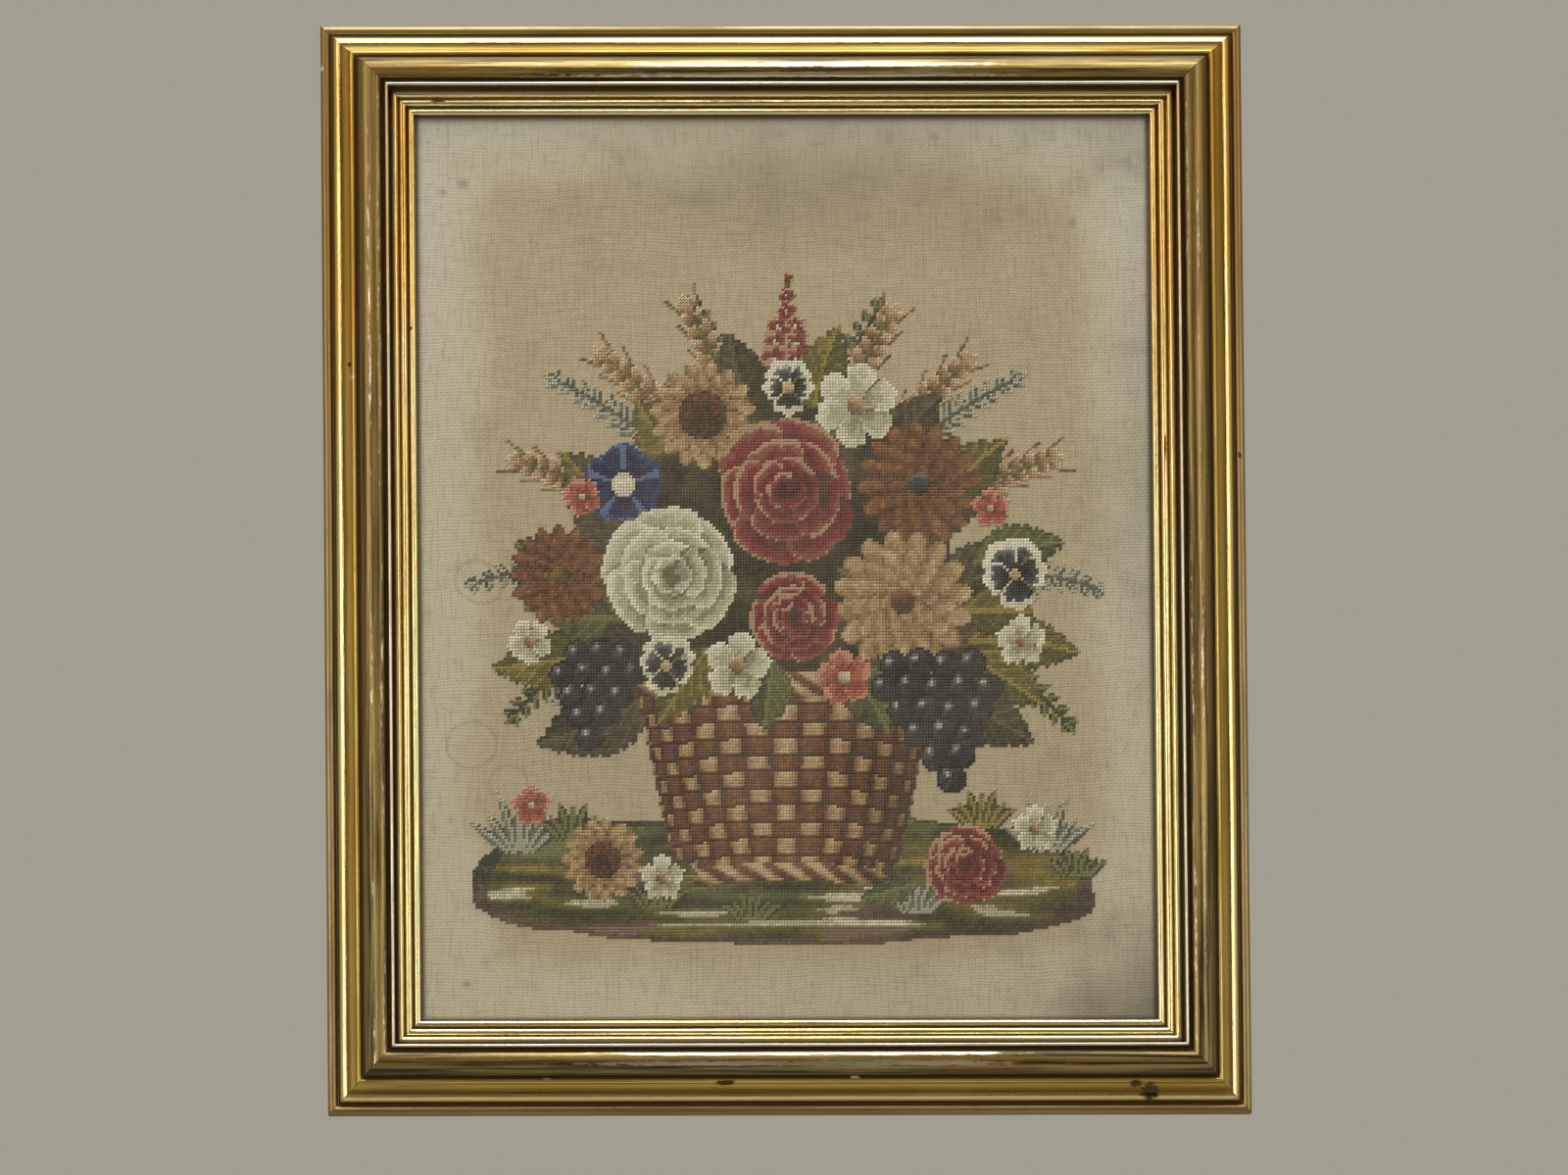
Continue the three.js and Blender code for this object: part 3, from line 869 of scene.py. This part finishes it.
class FlowerChart:
    # A chart of stitches. Each shape is painted over what is there, in columns and rows of stitches.

    def __init__(self, sizes):
        self.columns, self.rows = sizes["columns"], sizes["rows"]
        self.random = np.random.default_rng(sizes["seed"])
        across = np.arange(self.columns) - self.columns / 2 + 0.5
        self.x, self.z = np.meshgrid(across, np.arange(self.rows) + 0.5)
        self.wool = np.full(self.x.shape, -1)
        self.shade = np.zeros(self.x.shape, int)
        speckle = sizes["speckle"]
        self.rough = sizes["patchiness"] * self.noiseField(0.35, 0.35, 3.5)
        self.rough = self.rough + self.random.uniform(-speckle, speckle, self.x.shape)

    def paint(self, mask, wool, level):
        count = len(woolShades[wool])
        step = np.clip(np.floor((level + self.rough) * count), 0, count - 1).astype(int)
        self.wool[mask] = woolNames.index(wool)
        self.shade[mask] = np.broadcast_to(step, mask.shape)[mask]

    def noiseField(self, scaleAcross, scaleUp, seed):
        values = [
            noise.noise(Vector((x * scaleAcross, z * scaleUp, seed)))
            for x, z in zip(self.x.ravel(), self.z.ravel())
        ]
        return np.array(values).reshape(self.x.shape)

    def turned(self, x, z, angle):
        a = math.radians(angle)
        dx, dz = self.x - x, self.z - z
        return dx * math.cos(a) + dz * math.sin(a), dz * math.cos(a) - dx * math.sin(a)

    def around(self, x, z, angle):
        # Every stitch's distance from a point, and its degrees either side of a heading.
        along, aside = self.turned(x, z, angle)
        return np.hypot(along, aside), np.degrees(np.arctan2(aside, along))

    def oval(self, x, z, halfLength, halfWidth, angle, wool, dark, light):
        along, aside = self.turned(x, z, angle)
        inside = (along / halfLength) ** 2 + (aside / halfWidth) ** 2
        level = dark + (light - dark) * (along / halfLength + 1) / 2
        self.paint(inside < 1, wool, level)

    def fan(self, x, z, inner, outer, heading, width, wool, dark, light, notch=0.0, rim=0.22, fall=0.13):
        # One broad petal: dark at its foot, pale at its rim, shaded down one side.
        distance, aside = self.around(x, z, heading)
        side = aside / (width / 2)
        edge = outer * (1 - fall * side ** 2 - notch * np.exp(-(side * 4) ** 2)) + 0.6 * np.cos(side * 9)
        mask = (np.abs(side) < 1) & (distance < edge)
        t = np.clip((distance - inner) / np.maximum(edge - inner, 1), 0, 1)
        lit = math.cos(math.radians(heading - 125))  # the light falls from the upper left
        level = dark + (light - dark) * t ** 1.4 - 0.16 * side + 0.10 * lit
        onRim = (edge - distance < 1.5 - 0.25 * side) & (np.abs(side + 0.15) < 0.62)
        level = level + rim * (0.75 + 0.55 * lit) * onRim
        self.paint(mask, wool, level - 0.42 * (side > 0.8))

    def rose(self, x, z, size, wool, turn=0.0):
        rings = [
            # inner, outer, petals, width, dark, light
            (0.45, 1.0, 6, 84, 0.05, 0.80), (0.30, 0.74, 5, 98, 0.05, 0.82),
            (0.14, 0.50, 4, 118, 0.02, 0.80), (0.0, 0.29, 3, 150, 0.0, 0.7),
        ]
        for order, (inner, outer, count, width, dark, light) in enumerate(rings):
            for k in range(count):
                heading = turn + 360 * k / count + 31 * order + self.random.uniform(-9, 9)
                reach = outer * size * self.random.uniform(0.88, 1.05)
                self.fan(x, z, inner * size, reach, heading, width, wool, dark, light, 0.1, 0.22, 0.26)
        self.oval(x, z, 0.09 * size, 0.13 * size, turn, wool, 0.0, 0.1)

    def dahlia(self, x, z, size, wool, heart, turn=0.0, rings=((1.0, 16), (0.74, 13), (0.5, 10), (0.3, 7))):
        # Rings of pointed petals. Each is broadest some way along and tapers to a third at its foot.
        broadest = 0.62
        for order, (outer, count) in enumerate(rings):
            for k in range(count):
                heading = turn + 360 * (k + 0.5 * (order % 2)) / count
                distance, aside = self.around(x, z, heading)
                reach = outer * size
                half = math.pi * reach * 0.72 / count * 1.25
                t = distance / reach
                across = distance * np.sin(np.radians(np.clip(aside, -90, 90)))
                shape = half * np.sqrt(np.clip(1 - ((t - broadest) / (1 - broadest)) ** 2, 0, 1))
                shape = np.where(t < broadest, half * (0.35 + 0.65 * t / broadest), shape)
                mask = (np.abs(aside) < 90) & (t < 1) & (np.abs(across) < shape)
                level = 0.12 + 0.68 * t ** 1.6 - 0.2 * across / half + 0.05 * (k % 2)
                self.paint(mask, wool, level - 0.24 * (shape - np.abs(across) < 0.9))
        self.oval(x, z, 0.17 * size, 0.17 * size, 120, heart, 0.1, 0.75)

    def sunflower(self, x, z, size, wool, heart, turn=0.0):
        self.dahlia(x, z, size, wool, heart, turn, ((1.0, 15), (0.82, 15)))
        distance = np.hypot(self.x - x, self.z - z)
        seeds = np.sin(distance * 1.9) * np.cos(np.arctan2(self.z - z, self.x - x) * 11)
        self.paint(distance < 0.44 * size, heart, 0.3 + 0.25 * seeds + 0.3 * (self.z - z) / size)
        self.paint(distance < 0.18 * size, heart, 0.1)

    def trumpet(self, x, z, size, wool, turn=0.0):
        distance, aside = self.around(x, z, turn)
        lobes = np.cos(np.radians(5 * aside))
        edge = size * (1 + 0.07 * lobes)
        level = 0.2 + 0.35 * (distance / edge) ** 2
        level = np.where((lobes > 0.86) & (distance > 0.3 * size), 0.95, level)
        level = np.where(edge - distance < 1.2, 0.7, level)
        self.paint(distance < edge, wool, level)
        self.paint(distance < 0.3 * size, "cream", 0.95 - 0.9 * distance / size)

    def blossom(self, x, z, size, wool, heart, count=5, turn=90.0):
        for k in range(count):
            heading = turn + 360 * k / count
            self.fan(x, z, 0.1 * size, size, heading, 400 / count, wool, 0.3, 0.85, 0.08, 0.12, 0.42)
        self.oval(x, z, 0.22 * size, 0.22 * size, 60, heart, 0.1, 0.9)

    def pansy(self, x, z, size, wool, edgeWool, turn=0.0):
        for heading, reach in ((60, 1.0), (120, 1.0), (0, 0.85), (180, 0.85), (270, 0.95)):
            heading += turn
            self.fan(x, z, 0.1 * size, reach * size, heading, 96, edgeWool, 0.4, 0.9, 0.05, 0.1, 0.3)
            self.fan(x, z, 0.1 * size, reach * size * 0.74, heading, 80, wool, 0.05, 0.55, 0.05, 0.1)
        self.oval(x, z, 0.16 * size, 0.16 * size, 90, "tan", 0.5, 1.0)

    def leaf(self, x, z, length, width, angle, wool, bend=0.0, tone=0.0, veins=True):
        along, aside = self.turned(x, z, angle)
        t = np.clip(along / length, 0, 1)
        aside = aside - bend * width * np.sin(math.pi * t)
        halfWidth = width * np.sin(math.pi * t ** 0.8) ** 0.85
        halfWidth = halfWidth - 0.9 * (np.mod(along, 3.6) < 1.2) * (halfWidth > 2.5)
        mask = (along > 0) & (along < length) & (np.abs(aside) < halfWidth)
        level = np.where(aside > 0, 0.56, 0.30) + tone
        level = level + 0.24 * veins * (np.mod(along - np.abs(aside) * 1.15, 5) < 1.3)
        level = level - 0.2 * (halfWidth - np.abs(aside) < 0.9)
        level = np.where(np.abs(aside) < 0.65, 0.9 + tone, level)
        self.paint(mask, wool, level)

    def bentLeaf(self, *sizes):
        self.leaf(*sizes, 0.15)

    def shadows(self, middle, halfAcross, halfUp, wool):
        # The dark between the leaves and the flowers.
        inside = np.hypot(self.x / halfAcross, (self.z - middle) / halfUp)
        self.paint(inside < 1, wool, 0.3 + 0.7 * self.noiseField(0.12, 0.12, 6.5))

    def stem(self, points, width, wool, level):
        for (x1, z1), (x2, z2) in zip(points, points[1:]):
            angle = math.degrees(math.atan2(z2 - z1, x2 - x1))
            along, aside = self.turned(x1, z1, angle)
            reach = math.dist((x1, z1), (x2, z2)) + 0.5
            mask = (along > -0.5) & (along < reach) & (np.abs(aside) < width / 2)
            self.paint(mask, wool, level + 0.25 * (aside > 0))

    def arc(self, x, z, length, angle, bend, count):
        # Points along a curving stem, with the heading at each.
        points, headings = [(x, z)], [angle]
        for k in range(count):
            angle += bend / count
            a = math.radians(angle)
            x, z = x + math.cos(a) * length / count, z + math.sin(a) * length / count
            points.append((x, z))
            headings.append(angle)
        return points, headings

    def fern(self, x, z, length, angle, bend, wool, leafSize=11.0):
        points, headings = self.arc(x, z, length, angle, bend, max(4, round(length / 5)))
        for k, ((px, pz), heading) in enumerate(zip(points, headings)):
            size = leafSize * (1 - 0.66 * k / len(points))
            width = max(1.5, size * 0.24)
            for side in ((-1, 1) if k else ()):
                self.leaf(px, pz, size, width, heading + side * 50, wool, 0, 0.1 * side, False)
        self.leaf(*points[-1], leafSize * 0.5, 1.5, headings[-1], wool, 0, 0.0, False)
        self.stem(points, 1.5, wool, 0.1)

    def wheat(self, x, z, length, angle, bend):
        points, headings = self.arc(x, z, length, angle, bend, 12)
        self.stem(points, 1.5, "olive", 0.45)
        for k in range(5, 13):
            px, pz = points[k]
            size = 1.15 - 0.055 * k
            for side in (-1, 1):
                a = math.radians(headings[k] + side * 90)
                px2, pz2 = px + math.cos(a) * 4 * size, pz + math.sin(a) * 4 * size
                lean = math.radians(headings[k] + side * 20)
                tip = (px2 + math.cos(lean) * 10, pz2 + math.sin(lean) * 10)
                if k % 2:
                    self.stem([(px2, pz2), tip], 1.0, "tan", 0.2)
                self.oval(px2, pz2, 4.6 * size, 2.6 * size, headings[k] + side * 26, "tan", 0.05, 1.0)
        self.oval(*points[-1], 4, 1.6, headings[-1], "tan", 0.3, 1.0)

    def spike(self, x, z, length, angle, bend, wool, heart, largest=8.0):
        # A tall stem of blossoms, small at the tip.
        count = 10
        points, headings = self.arc(x, z, length, angle, bend, count)
        self.stem(points, 1.6, "olive", 0.3)
        for k in range(count, 0, -1):
            size = 2.2 + (largest - 2.2) * (count - k) / count
            px, pz = points[k]
            for side in ((-1, 1) if k < count - 2 else (0,)):
                a = math.radians(headings[k] + side * 90)
                out = size * 0.62 * abs(side)
                bloomX, bloomZ = px + math.cos(a) * out, pz + math.sin(a) * out
                self.blossom(bloomX, bloomZ, size, wool, heart, 4, headings[k] + 45 * side)

    def berries(self, x, z, size, wool, widths, lean=0.0):
        for row, count in enumerate(widths):
            for k in range(count):
                px = x + (k - (count - 1) / 2) * size * 1.75 + row * lean
                pz = z - row * size * 1.5 + (k % 2) * 0.8
                along, aside = self.turned(px, pz, 135)
                distance = np.hypot(along, aside)
                level = 0.32 + 0.26 * along / size
                level = np.where(distance > size - 1.0, 0.05, level)
                self.paint(distance < size, wool, level)
                shine = np.hypot(self.x - px + size * 0.35, self.z - pz - size * 0.35)
                self.paint(shine < max(0.9, size * 0.3), wool, 0.68)
                self.paint(shine < 0.8, wool, 0.9)

    def tuft(self, x, z, height, wool, blades=7):
        for k in range(blades):
            off = k - (blades - 1) / 2
            size = height * (1 - 0.09 * abs(off)) * (1 - 0.18 * (k % 2))
            self.leaf(x + off * 1.2, z, size, 1.8, 90 - off * 17, wool, 0.4 * np.sign(off), 0.0, False)

    def bank(self, halfWidth, middle, halfHeight):
        rough = self.noiseField(0.045, 0.10, 1.5)
        low = (self.z - middle) / halfHeight
        edge = 1 - (np.abs(self.x) / halfWidth) ** 2.6 - np.abs(low) ** 2.3 + 0.20 * rough
        mask = edge > 0
        streaks = self.noiseField(0.030, 0.32, 4.5)
        patches = self.noiseField(0.022, 0.085, 8.5)
        self.paint(mask, "olive", 0.46 + 0.8 * streaks + 0.12 * low)
        self.paint(mask & (patches + 0.35 * low > 0.16), "moss", 0.55 + 0.8 * streaks)
        self.paint(mask & (patches - 0.1 * low < -0.12) & (low < 0.2), "umber", 0.5 + 0.9 * streaks)
        pale = mask & (streaks - 0.12 * low > 0.32) & (low < -0.1) & (low > -0.72)
        self.paint(pale, "cream", 0.25 + 0.8 * streaks)
        self.paint(mask & (edge < 0.16) & (low < 0), "umber", 0.3 + 0.8 * streaks)
        self.paint(mask & (edge < 0.13) & (low >= 0), "moss", 0.2 + 0.5 * streaks)

    def basket(self, x, bottom, top, baseHalf, rimHalf):
        # Round wickerwork: courses of willow go over and under upright stakes, with a braid at foot and rim.
        course, stakeTurn = 5.5, 0.205
        height = (self.z - bottom) / (top - bottom)
        half = baseHalf + (rimHalf - baseHalf) * np.clip(height, 0, 1) ** 0.75
        side = np.clip((self.x - x) / half, -1, 1)
        bow = self.z - bottom + 3.0 * side ** 2
        stake = np.arcsin(side) / stakeTurn + 0.5
        over = np.mod(np.floor(bow / course) + np.floor(stake), 2)
        bulge = np.sin(math.pi * np.mod(stake, 1))
        rise = np.mod(bow, course)
        pad = np.where(rise < 1.0, -0.5, np.where(rise > 4.2, 0.12, 0.0))
        fade = 0.42 * side ** 2 + 0.14 * side
        mask = (np.abs(self.x - x) < half) & (height > 0) & (height < 1)
        self.paint(mask, "chestnut", 0.34 + 0.3 * bulge + 0.6 * pad - 0.7 * fade)
        self.paint(mask & (over > 0) & (bulge > 0.30) & (rise > 1.0), "tan", 0.2 + 0.62 * bulge + pad - fade)
        bands = ((bottom, baseHalf + 2.5, 3.0, 3.0), (top, rimHalf + 3.5, 4.2, 0.0))
        for foot, halfBand, halfDepth, sag in bands:
            along = (self.x - x) / halfBand
            inBand = self.z - foot + sag * along ** 2
            braid = np.sin((self.x - x) * 0.62 + inBand * 0.9)
            band = (np.abs(along) < 1) & (np.abs(inBand) < halfDepth)
            shape = 0.2 * (inBand / halfDepth) - 0.5 * along ** 2 - 0.1 * along
            self.paint(band, "tan", 0.55 + 0.4 * braid + shape)
            self.paint(band & (braid < -0.35), "chestnut", 0.5 + shape)

    def place(self, column, row):
        # Millimetres from the picture's middle of a point on the chart.
        across = chartSizes["middleAcross"] + column * clothSizes["pitchAcross"]
        return across, chartSizes["bottomUp"] + row * clothSizes["pitchUp"]


arrangement = [
    # what is worked, from the back to the front: a shape's name and, for each of them, what it is given
    ("bank", [(107, 21, 21)]),

    # sprays and ears at the back
    ("fern", [
        (-26, 150, 62, 132, 22, "greyGreen"), (28, 150, 62, 48, -22, "greyGreen"),
        (-52, 122, 52, 166, 30, "greyGreen"), (56, 120, 50, 16, -34, "greyGreen"),
        (-12, 172, 42, 108, 12, "moss"), (14, 172, 42, 72, -14, "moss"),
        (-50, 100, 48, 190, 36, "moss"), (52, 98, 50, -8, -40, "moss"),
    ]),
    ("wheat", [
        (-10, 160, 56, 107, 12), (14, 160, 54, 72, -14), (-24, 156, 54, 124, 18), (28, 154, 52, 58, -18),
        (-44, 140, 50, 148, 16), (46, 140, 50, 34, -18),
    ]),
    ("spike", [(1, 166, 54, 91, -4, "crimson", "cream", 10)]),

    # the mass of leaves that the flowers lie on
    ("bentLeaf", [
        (-40, 96, 46, 12, 178, "darkLeaf"), (-44, 84, 44, 12, 204, "darkLeaf"),
        (42, 96, 48, 12, 2, "darkLeaf"), (44, 84, 44, 12, -24, "darkLeaf"),
        (-46, 112, 44, 12, 160, "moss"), (48, 112, 44, 12, 22, "darkLeaf"),
        (-40, 130, 42, 12, 146, "darkLeaf"), (40, 134, 42, 12, 38, "moss"),
        (-26, 150, 38, 11, 128, "olive"), (30, 152, 38, 11, 52, "darkLeaf"),
        (-8, 172, 32, 10, 108, "darkLeaf"), (10, 172, 34, 10, 74, "olive"),
        (-62, 98, 38, 10, 190, "olive"), (62, 100, 38, 10, -6, "olive"), (-60, 126, 32, 9, 168, "moss"),
        (64, 126, 32, 9, 12, "moss"), (-52, 144, 30, 9, 140, "olive"), (54, 146, 30, 9, 44, "olive"),
    ]),
    ("shadows", [(128, 56, 50, "darkLeaf")]),
    ("leaf", [
        (-8, 160, 24, 8, 120, "moss"), (8, 158, 22, 8, 60, "olive"), (-20, 128, 22, 8, 200, "olive"),
        (18, 124, 22, 8, -30, "moss"), (0, 116, 22, 8, 250, "olive"), (-58, 108, 22, 8, 180, "moss"),
        (60, 110, 24, 8, 0, "olive"),
    ]),

    ("basket", [(0, 24, 86, 36, 50)]),

    # flowers, from the back to the rim
    ("sunflower", [(-27, 175, 18, "tan", "chestnut", 8)]),
    ("blossom", [(25, 178, 15, "cream", "tan", 6, 80)]),
    ("pansy", [(2, 184, 10, "charcoal", "cream", 0)]),
    ("dahlia", [(46, 152, 21, "chestnut", "charcoal", 4)]),
    ("trumpet", [(-54, 152, 13, "blue", 18)]),
    ("rose", [(1, 150, 26, "crimson", 10)]),
    ("dahlia", [(-76, 122, 17, "chestnut", "olive", 0)]),
    ("pansy", [(78, 122, 13, "charcoal", "cream", 10)]),
    ("rose", [(-38, 122, 25, "cream", 35)]),
    ("dahlia", [(40, 113, 24, "tan", "chestnut", 9)]),
    ("rose", [(3, 108, 17, "crimson", 60)]),
    ("blossom", [(-68, 148, 7, "coral", "cream", 5, 40), (70, 144, 7, "coral", "cream", 5, 20)]),

    # what hangs over the rim
    ("leaf", [
        (-26, 98, 30, 9, 236, "olive"), (22, 94, 28, 9, -62, "moss"), (-52, 96, 32, 9, 212, "greyGreen"),
        (62, 96, 30, 9, -34, "olive"), (-4, 94, 24, 8, 262, "moss"),
    ]),
    ("berries", [
        (50, 92, 5.0, "charcoal", (4, 5, 4, 3, 2, 1), 1.2),
        (-62, 96, 4.6, "charcoal", (3, 4, 3, 2, 1), -1.0),
    ]),
    ("blossom", [(-16, 92, 12, "cream", "tan", 5, 80), (20, 88, 10, "coral", "cream", 5, 100)]),
    ("pansy", [(-40, 92, 11, "charcoal", "cream", -12)]),
    ("blossom", [(80, 100, 9, "cream", "tan", 5, 20), (-86, 100, 8, "cream", "tan", 5, 50)]),

    # on the bank
    ("tuft", [
        (-90, 30, 24, "greyGreen"), (-72, 34, 16, "moss"), (88, 30, 22, "greyGreen"), (66, 38, 16, "olive"),
        (-44, 12, 13, "moss"), (44, 10, 12, "greyGreen"), (-12, 8, 11, "moss"), (98, 22, 12, "moss"),
    ]),
    ("sunflower", [(-62, 28, 14, "tan", "chestnut", 12)]),
    ("rose", [(60, 26, 15, "crimson", 25)]),
    ("blossom", [(84, 38, 8, "cream", "tan", 5), (-86, 46, 7, "coral", "cream", 5)]),
    ("leaf", [(-30, 22, 18, 5, 172, "olive")]),
    ("blossom", [(-42, 22, 8, "cream", "tan", 5)]),
    ("leaf", [(44, 20, 20, 5, 196, "moss")]),
]


def drawFlowers():
    chart = FlowerChart(chartSizes)
    for shape, rows in arrangement:
        for row in rows:
            getattr(chart, shape)(*row)
    print("chart drawn,", int((chart.wool >= 0).sum()), "stitches")
    return chart


stitchSizes = {
    "armWidth": 1.12,  # millimetres
    "armHeight": 0.62,
    "reach": 1.02,  # of the diagonal
    "underHeight": 0.22,
    "overHeight": 0.46,
    "plump": 1.25,  # how far the thread keeps its thickness towards the holes
    "endDrop": 0.9,  # of its height, where it goes down into a hole
    # painted shade on the thread where it goes down into the holes
    "holeShade": 0.6,  # the thread is darker in the holes
    # painted shade on the under arm, beneath the top arm
    "underArmShade": 0.8,
    "turnJitter": 0.06,  # how unevenly the stitches lie, in radians, in size and in shade
    "sizeJitter": 0.03,
    "shadeJitter": 0.06,
    "seed": 100,
}


def stitchArm(rings, lean, height):
    # One arm of a cross stitch, a plump thread from hole to hole. Millimetres, as vertices and triangles.
    bm = bmesh.new()
    bmesh.ops.create_uvsphere(bm, u_segments=4, v_segments=rings, radius=1)
    diagonal = math.hypot(clothSizes["pitchAcross"], clothSizes["pitchUp"]) / 2 * stitchSizes["reach"]
    for vert in bm.verts:
        if abs(vert.co.z) < 0.95:
            vert.co.z *= stitchSizes["plump"]
    angle = math.atan2(clothSizes["pitchUp"], clothSizes["pitchAcross"]) * lean
    bmesh.ops.rotate(bm, verts=bm.verts, matrix=Matrix.Rotation(math.radians(90), 3, "Y"))
    halfHeight, halfWidth = stitchSizes["armHeight"] / 2, stitchSizes["armWidth"] / 2
    bmesh.ops.scale(bm, verts=bm.verts, vec=(diagonal, halfHeight, halfWidth))
    # painted shade at the arm's ends, where it goes into the holes
    tones = [stitchSizes["holeShade"] if abs(vert.co.x) > diagonal * 0.9 else 1.0 for vert in bm.verts]
    for vert in bm.verts:
        tuck = (abs(vert.co.x) / diagonal) ** 2
        vert.co.y -= height - tuck * height * stitchSizes["endDrop"]
    bmesh.ops.rotate(bm, verts=bm.verts, matrix=Matrix.Rotation(-angle, 3, "Y"))
    bmesh.ops.triangulate(bm, faces=bm.faces)
    bmesh.ops.recalc_face_normals(bm, faces=bm.faces)
    bm.verts.index_update()
    places = np.array([vert.co[:] for vert in bm.verts])
    corners = np.array([[vert.index for vert in face.verts] for face in bm.faces])
    bm.free()
    return places, corners, np.array(tones)


def crossStitch():
    places, corners, tones = stitchArm(2, -1, stitchSizes["underHeight"])
    overPlaces, overCorners, overTones = stitchArm(3, 1, stitchSizes["overHeight"])
    # the under arm is darkened with painted shade
    tones = np.concatenate([tones * stitchSizes["underArmShade"], overTones])
    corners = np.vstack([corners, overCorners + len(places)])
    return np.vstack([places, overPlaces]), corners, tones


def woolFinish():
    s = Shading("dullWool")
    place = s.objectPlace()
    fibre = s.noiseAt(place, 2600, 2.0, 0.6)
    faded = s.noiseAt(place, 18, 3.0)
    colour = s.tint(s.attribute("woolColour", "Color"), fibre, 0.3, 0.75, 0.2, (0.03, 0.025, 0.02))
    s.put("Base Color", s.tint(colour, faded, 0.3, 0.75, 0.10, (0.32, 0.28, 0.20)))
    s.put("Roughness", 0.95)
    s.put("Sheen Weight", 0.05)
    s.put("Sheen Roughness", 0.5)
    s.bump(fibre, 0.00012, 0.7)
    return s.material


def linear(colour):
    value = np.array(colour) / 255
    return np.where(value < 0.04045, value / 12.92, ((value + 0.055) / 1.055) ** 2.4)


def makeStitches(chart):
    places, corners, tones = crossStitch()
    finish = woolFinish()
    pieces = []
    for order, wool in enumerate(woolNames):
        rows, columns = np.nonzero(chart.wool == order)
        random = np.random.default_rng(stitchSizes["seed"] + order)
        across, up = chart.place(columns - chart.columns / 2 + 0.5, rows + 0.5)
        front = np.array([clothSizes["frontHeight"] + clothRipple(x, z) for x, z in zip(across, up)])
        count = len(rows)
        turn = random.normal(0, stitchSizes["turnJitter"], count)
        size = 1 + random.normal(0, stitchSizes["sizeJitter"], count)
        cosine, sine = np.cos(turn)[:, None], np.sin(turn)[:, None]
        shape = places[None] * size[:, None, None]
        x = shape[:, :, 0] * cosine - shape[:, :, 2] * sine + across[:, None]
        z = shape[:, :, 0] * sine + shape[:, :, 2] * cosine + up[:, None]
        y = shape[:, :, 1] - front[:, None]
        points = np.stack([x, y, z], 2).reshape(-1, 3) * mm
        points[:, 2] += middleUp
        faces = (corners[None] + (np.arange(count) * len(places))[:, None, None]).reshape(-1, 3)
        shades = np.array([linear(colour) for colour in woolShades[wool]])
        unevenness = random.normal(1, stitchSizes["shadeJitter"], count)
        colours = shades[chart.shade[rows, columns]] * unevenness[:, None]
        # the painted shade in the holes and under the top arm is multiplied into each stitch's colour
        colours = (colours[:, None, :] * tones[None, :, None]).reshape(-1, 3).clip(0, 1)

        mesh = bpy.data.meshes.new("stitches_" + wool)
        mesh.from_pydata(points.tolist(), [], faces.tolist())
        layer = mesh.color_attributes.new("woolColour", "FLOAT_COLOR", "POINT")
        layer.data.foreach_set("color", np.hstack([colours, np.ones((len(colours), 1))]).ravel())
        bake = mesh.uv_layers.new(name="OFBake")
        spread = np.array([1 / (sheetWidth * mm), 1 / (sheetHeight * mm)])
        flat = (points[:, [0, 2]] - [0, middleUp]) * spread + 0.5
        bake.data.foreach_set("uv", flat[faces.ravel()].ravel())
        mesh.polygons.foreach_set("use_smooth", [True] * len(faces))
        mesh.materials.append(finish)
        piece = linked("stitches_" + wool, mesh)
        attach(piece, "root")
        pieces.append(piece)
        print(piece.name, len(faces), "triangles")
    return pieces


# the board behind


def boardFinish():
    s = Shading("plainBoard")
    place = s.objectPlace()
    fibres = s.noiseAt(place, (90, 1, 700), 5.0, 0.65)
    clouds = s.noiseAt(place, 7, 4.0)
    spots = s.noiseAt(place, 160, 2.0)
    colour = s.tint((0.36, 0.26, 0.165), fibres, 0.3, 0.75, 1.0, (0.27, 0.185, 0.11))
    colour = s.tint(colour, clouds, 0.4, 0.75, 0.5, (0.20, 0.14, 0.085))
    s.put("Base Color", s.tint(colour, spots, 0.7, 0.78, 0.5, (0.12, 0.08, 0.05)))
    s.put("Roughness", s.fade(fibres, 0.3, 0.8, 0.7, 0.9))
    s.bump(fibres, 0.0002, 0.5)
    return s.material


def finishBoard():
    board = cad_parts["backboard"]
    material = boardFinish()
    if not board.material_slots:
        board.data.materials.append(None)
    for slot in board.material_slots:
        slot.material = material


makeCamera(cameraLook)
makeLamps()
makeSurroundings(surroundings)
makeFloor(floorLook)
makeRails()
canvas = makeCanvas()
stitches = makeStitches(drawFlowers())
finishBoard()
bpy.context.scene.view_settings.view_transform = "Standard"
print("pieces placed")
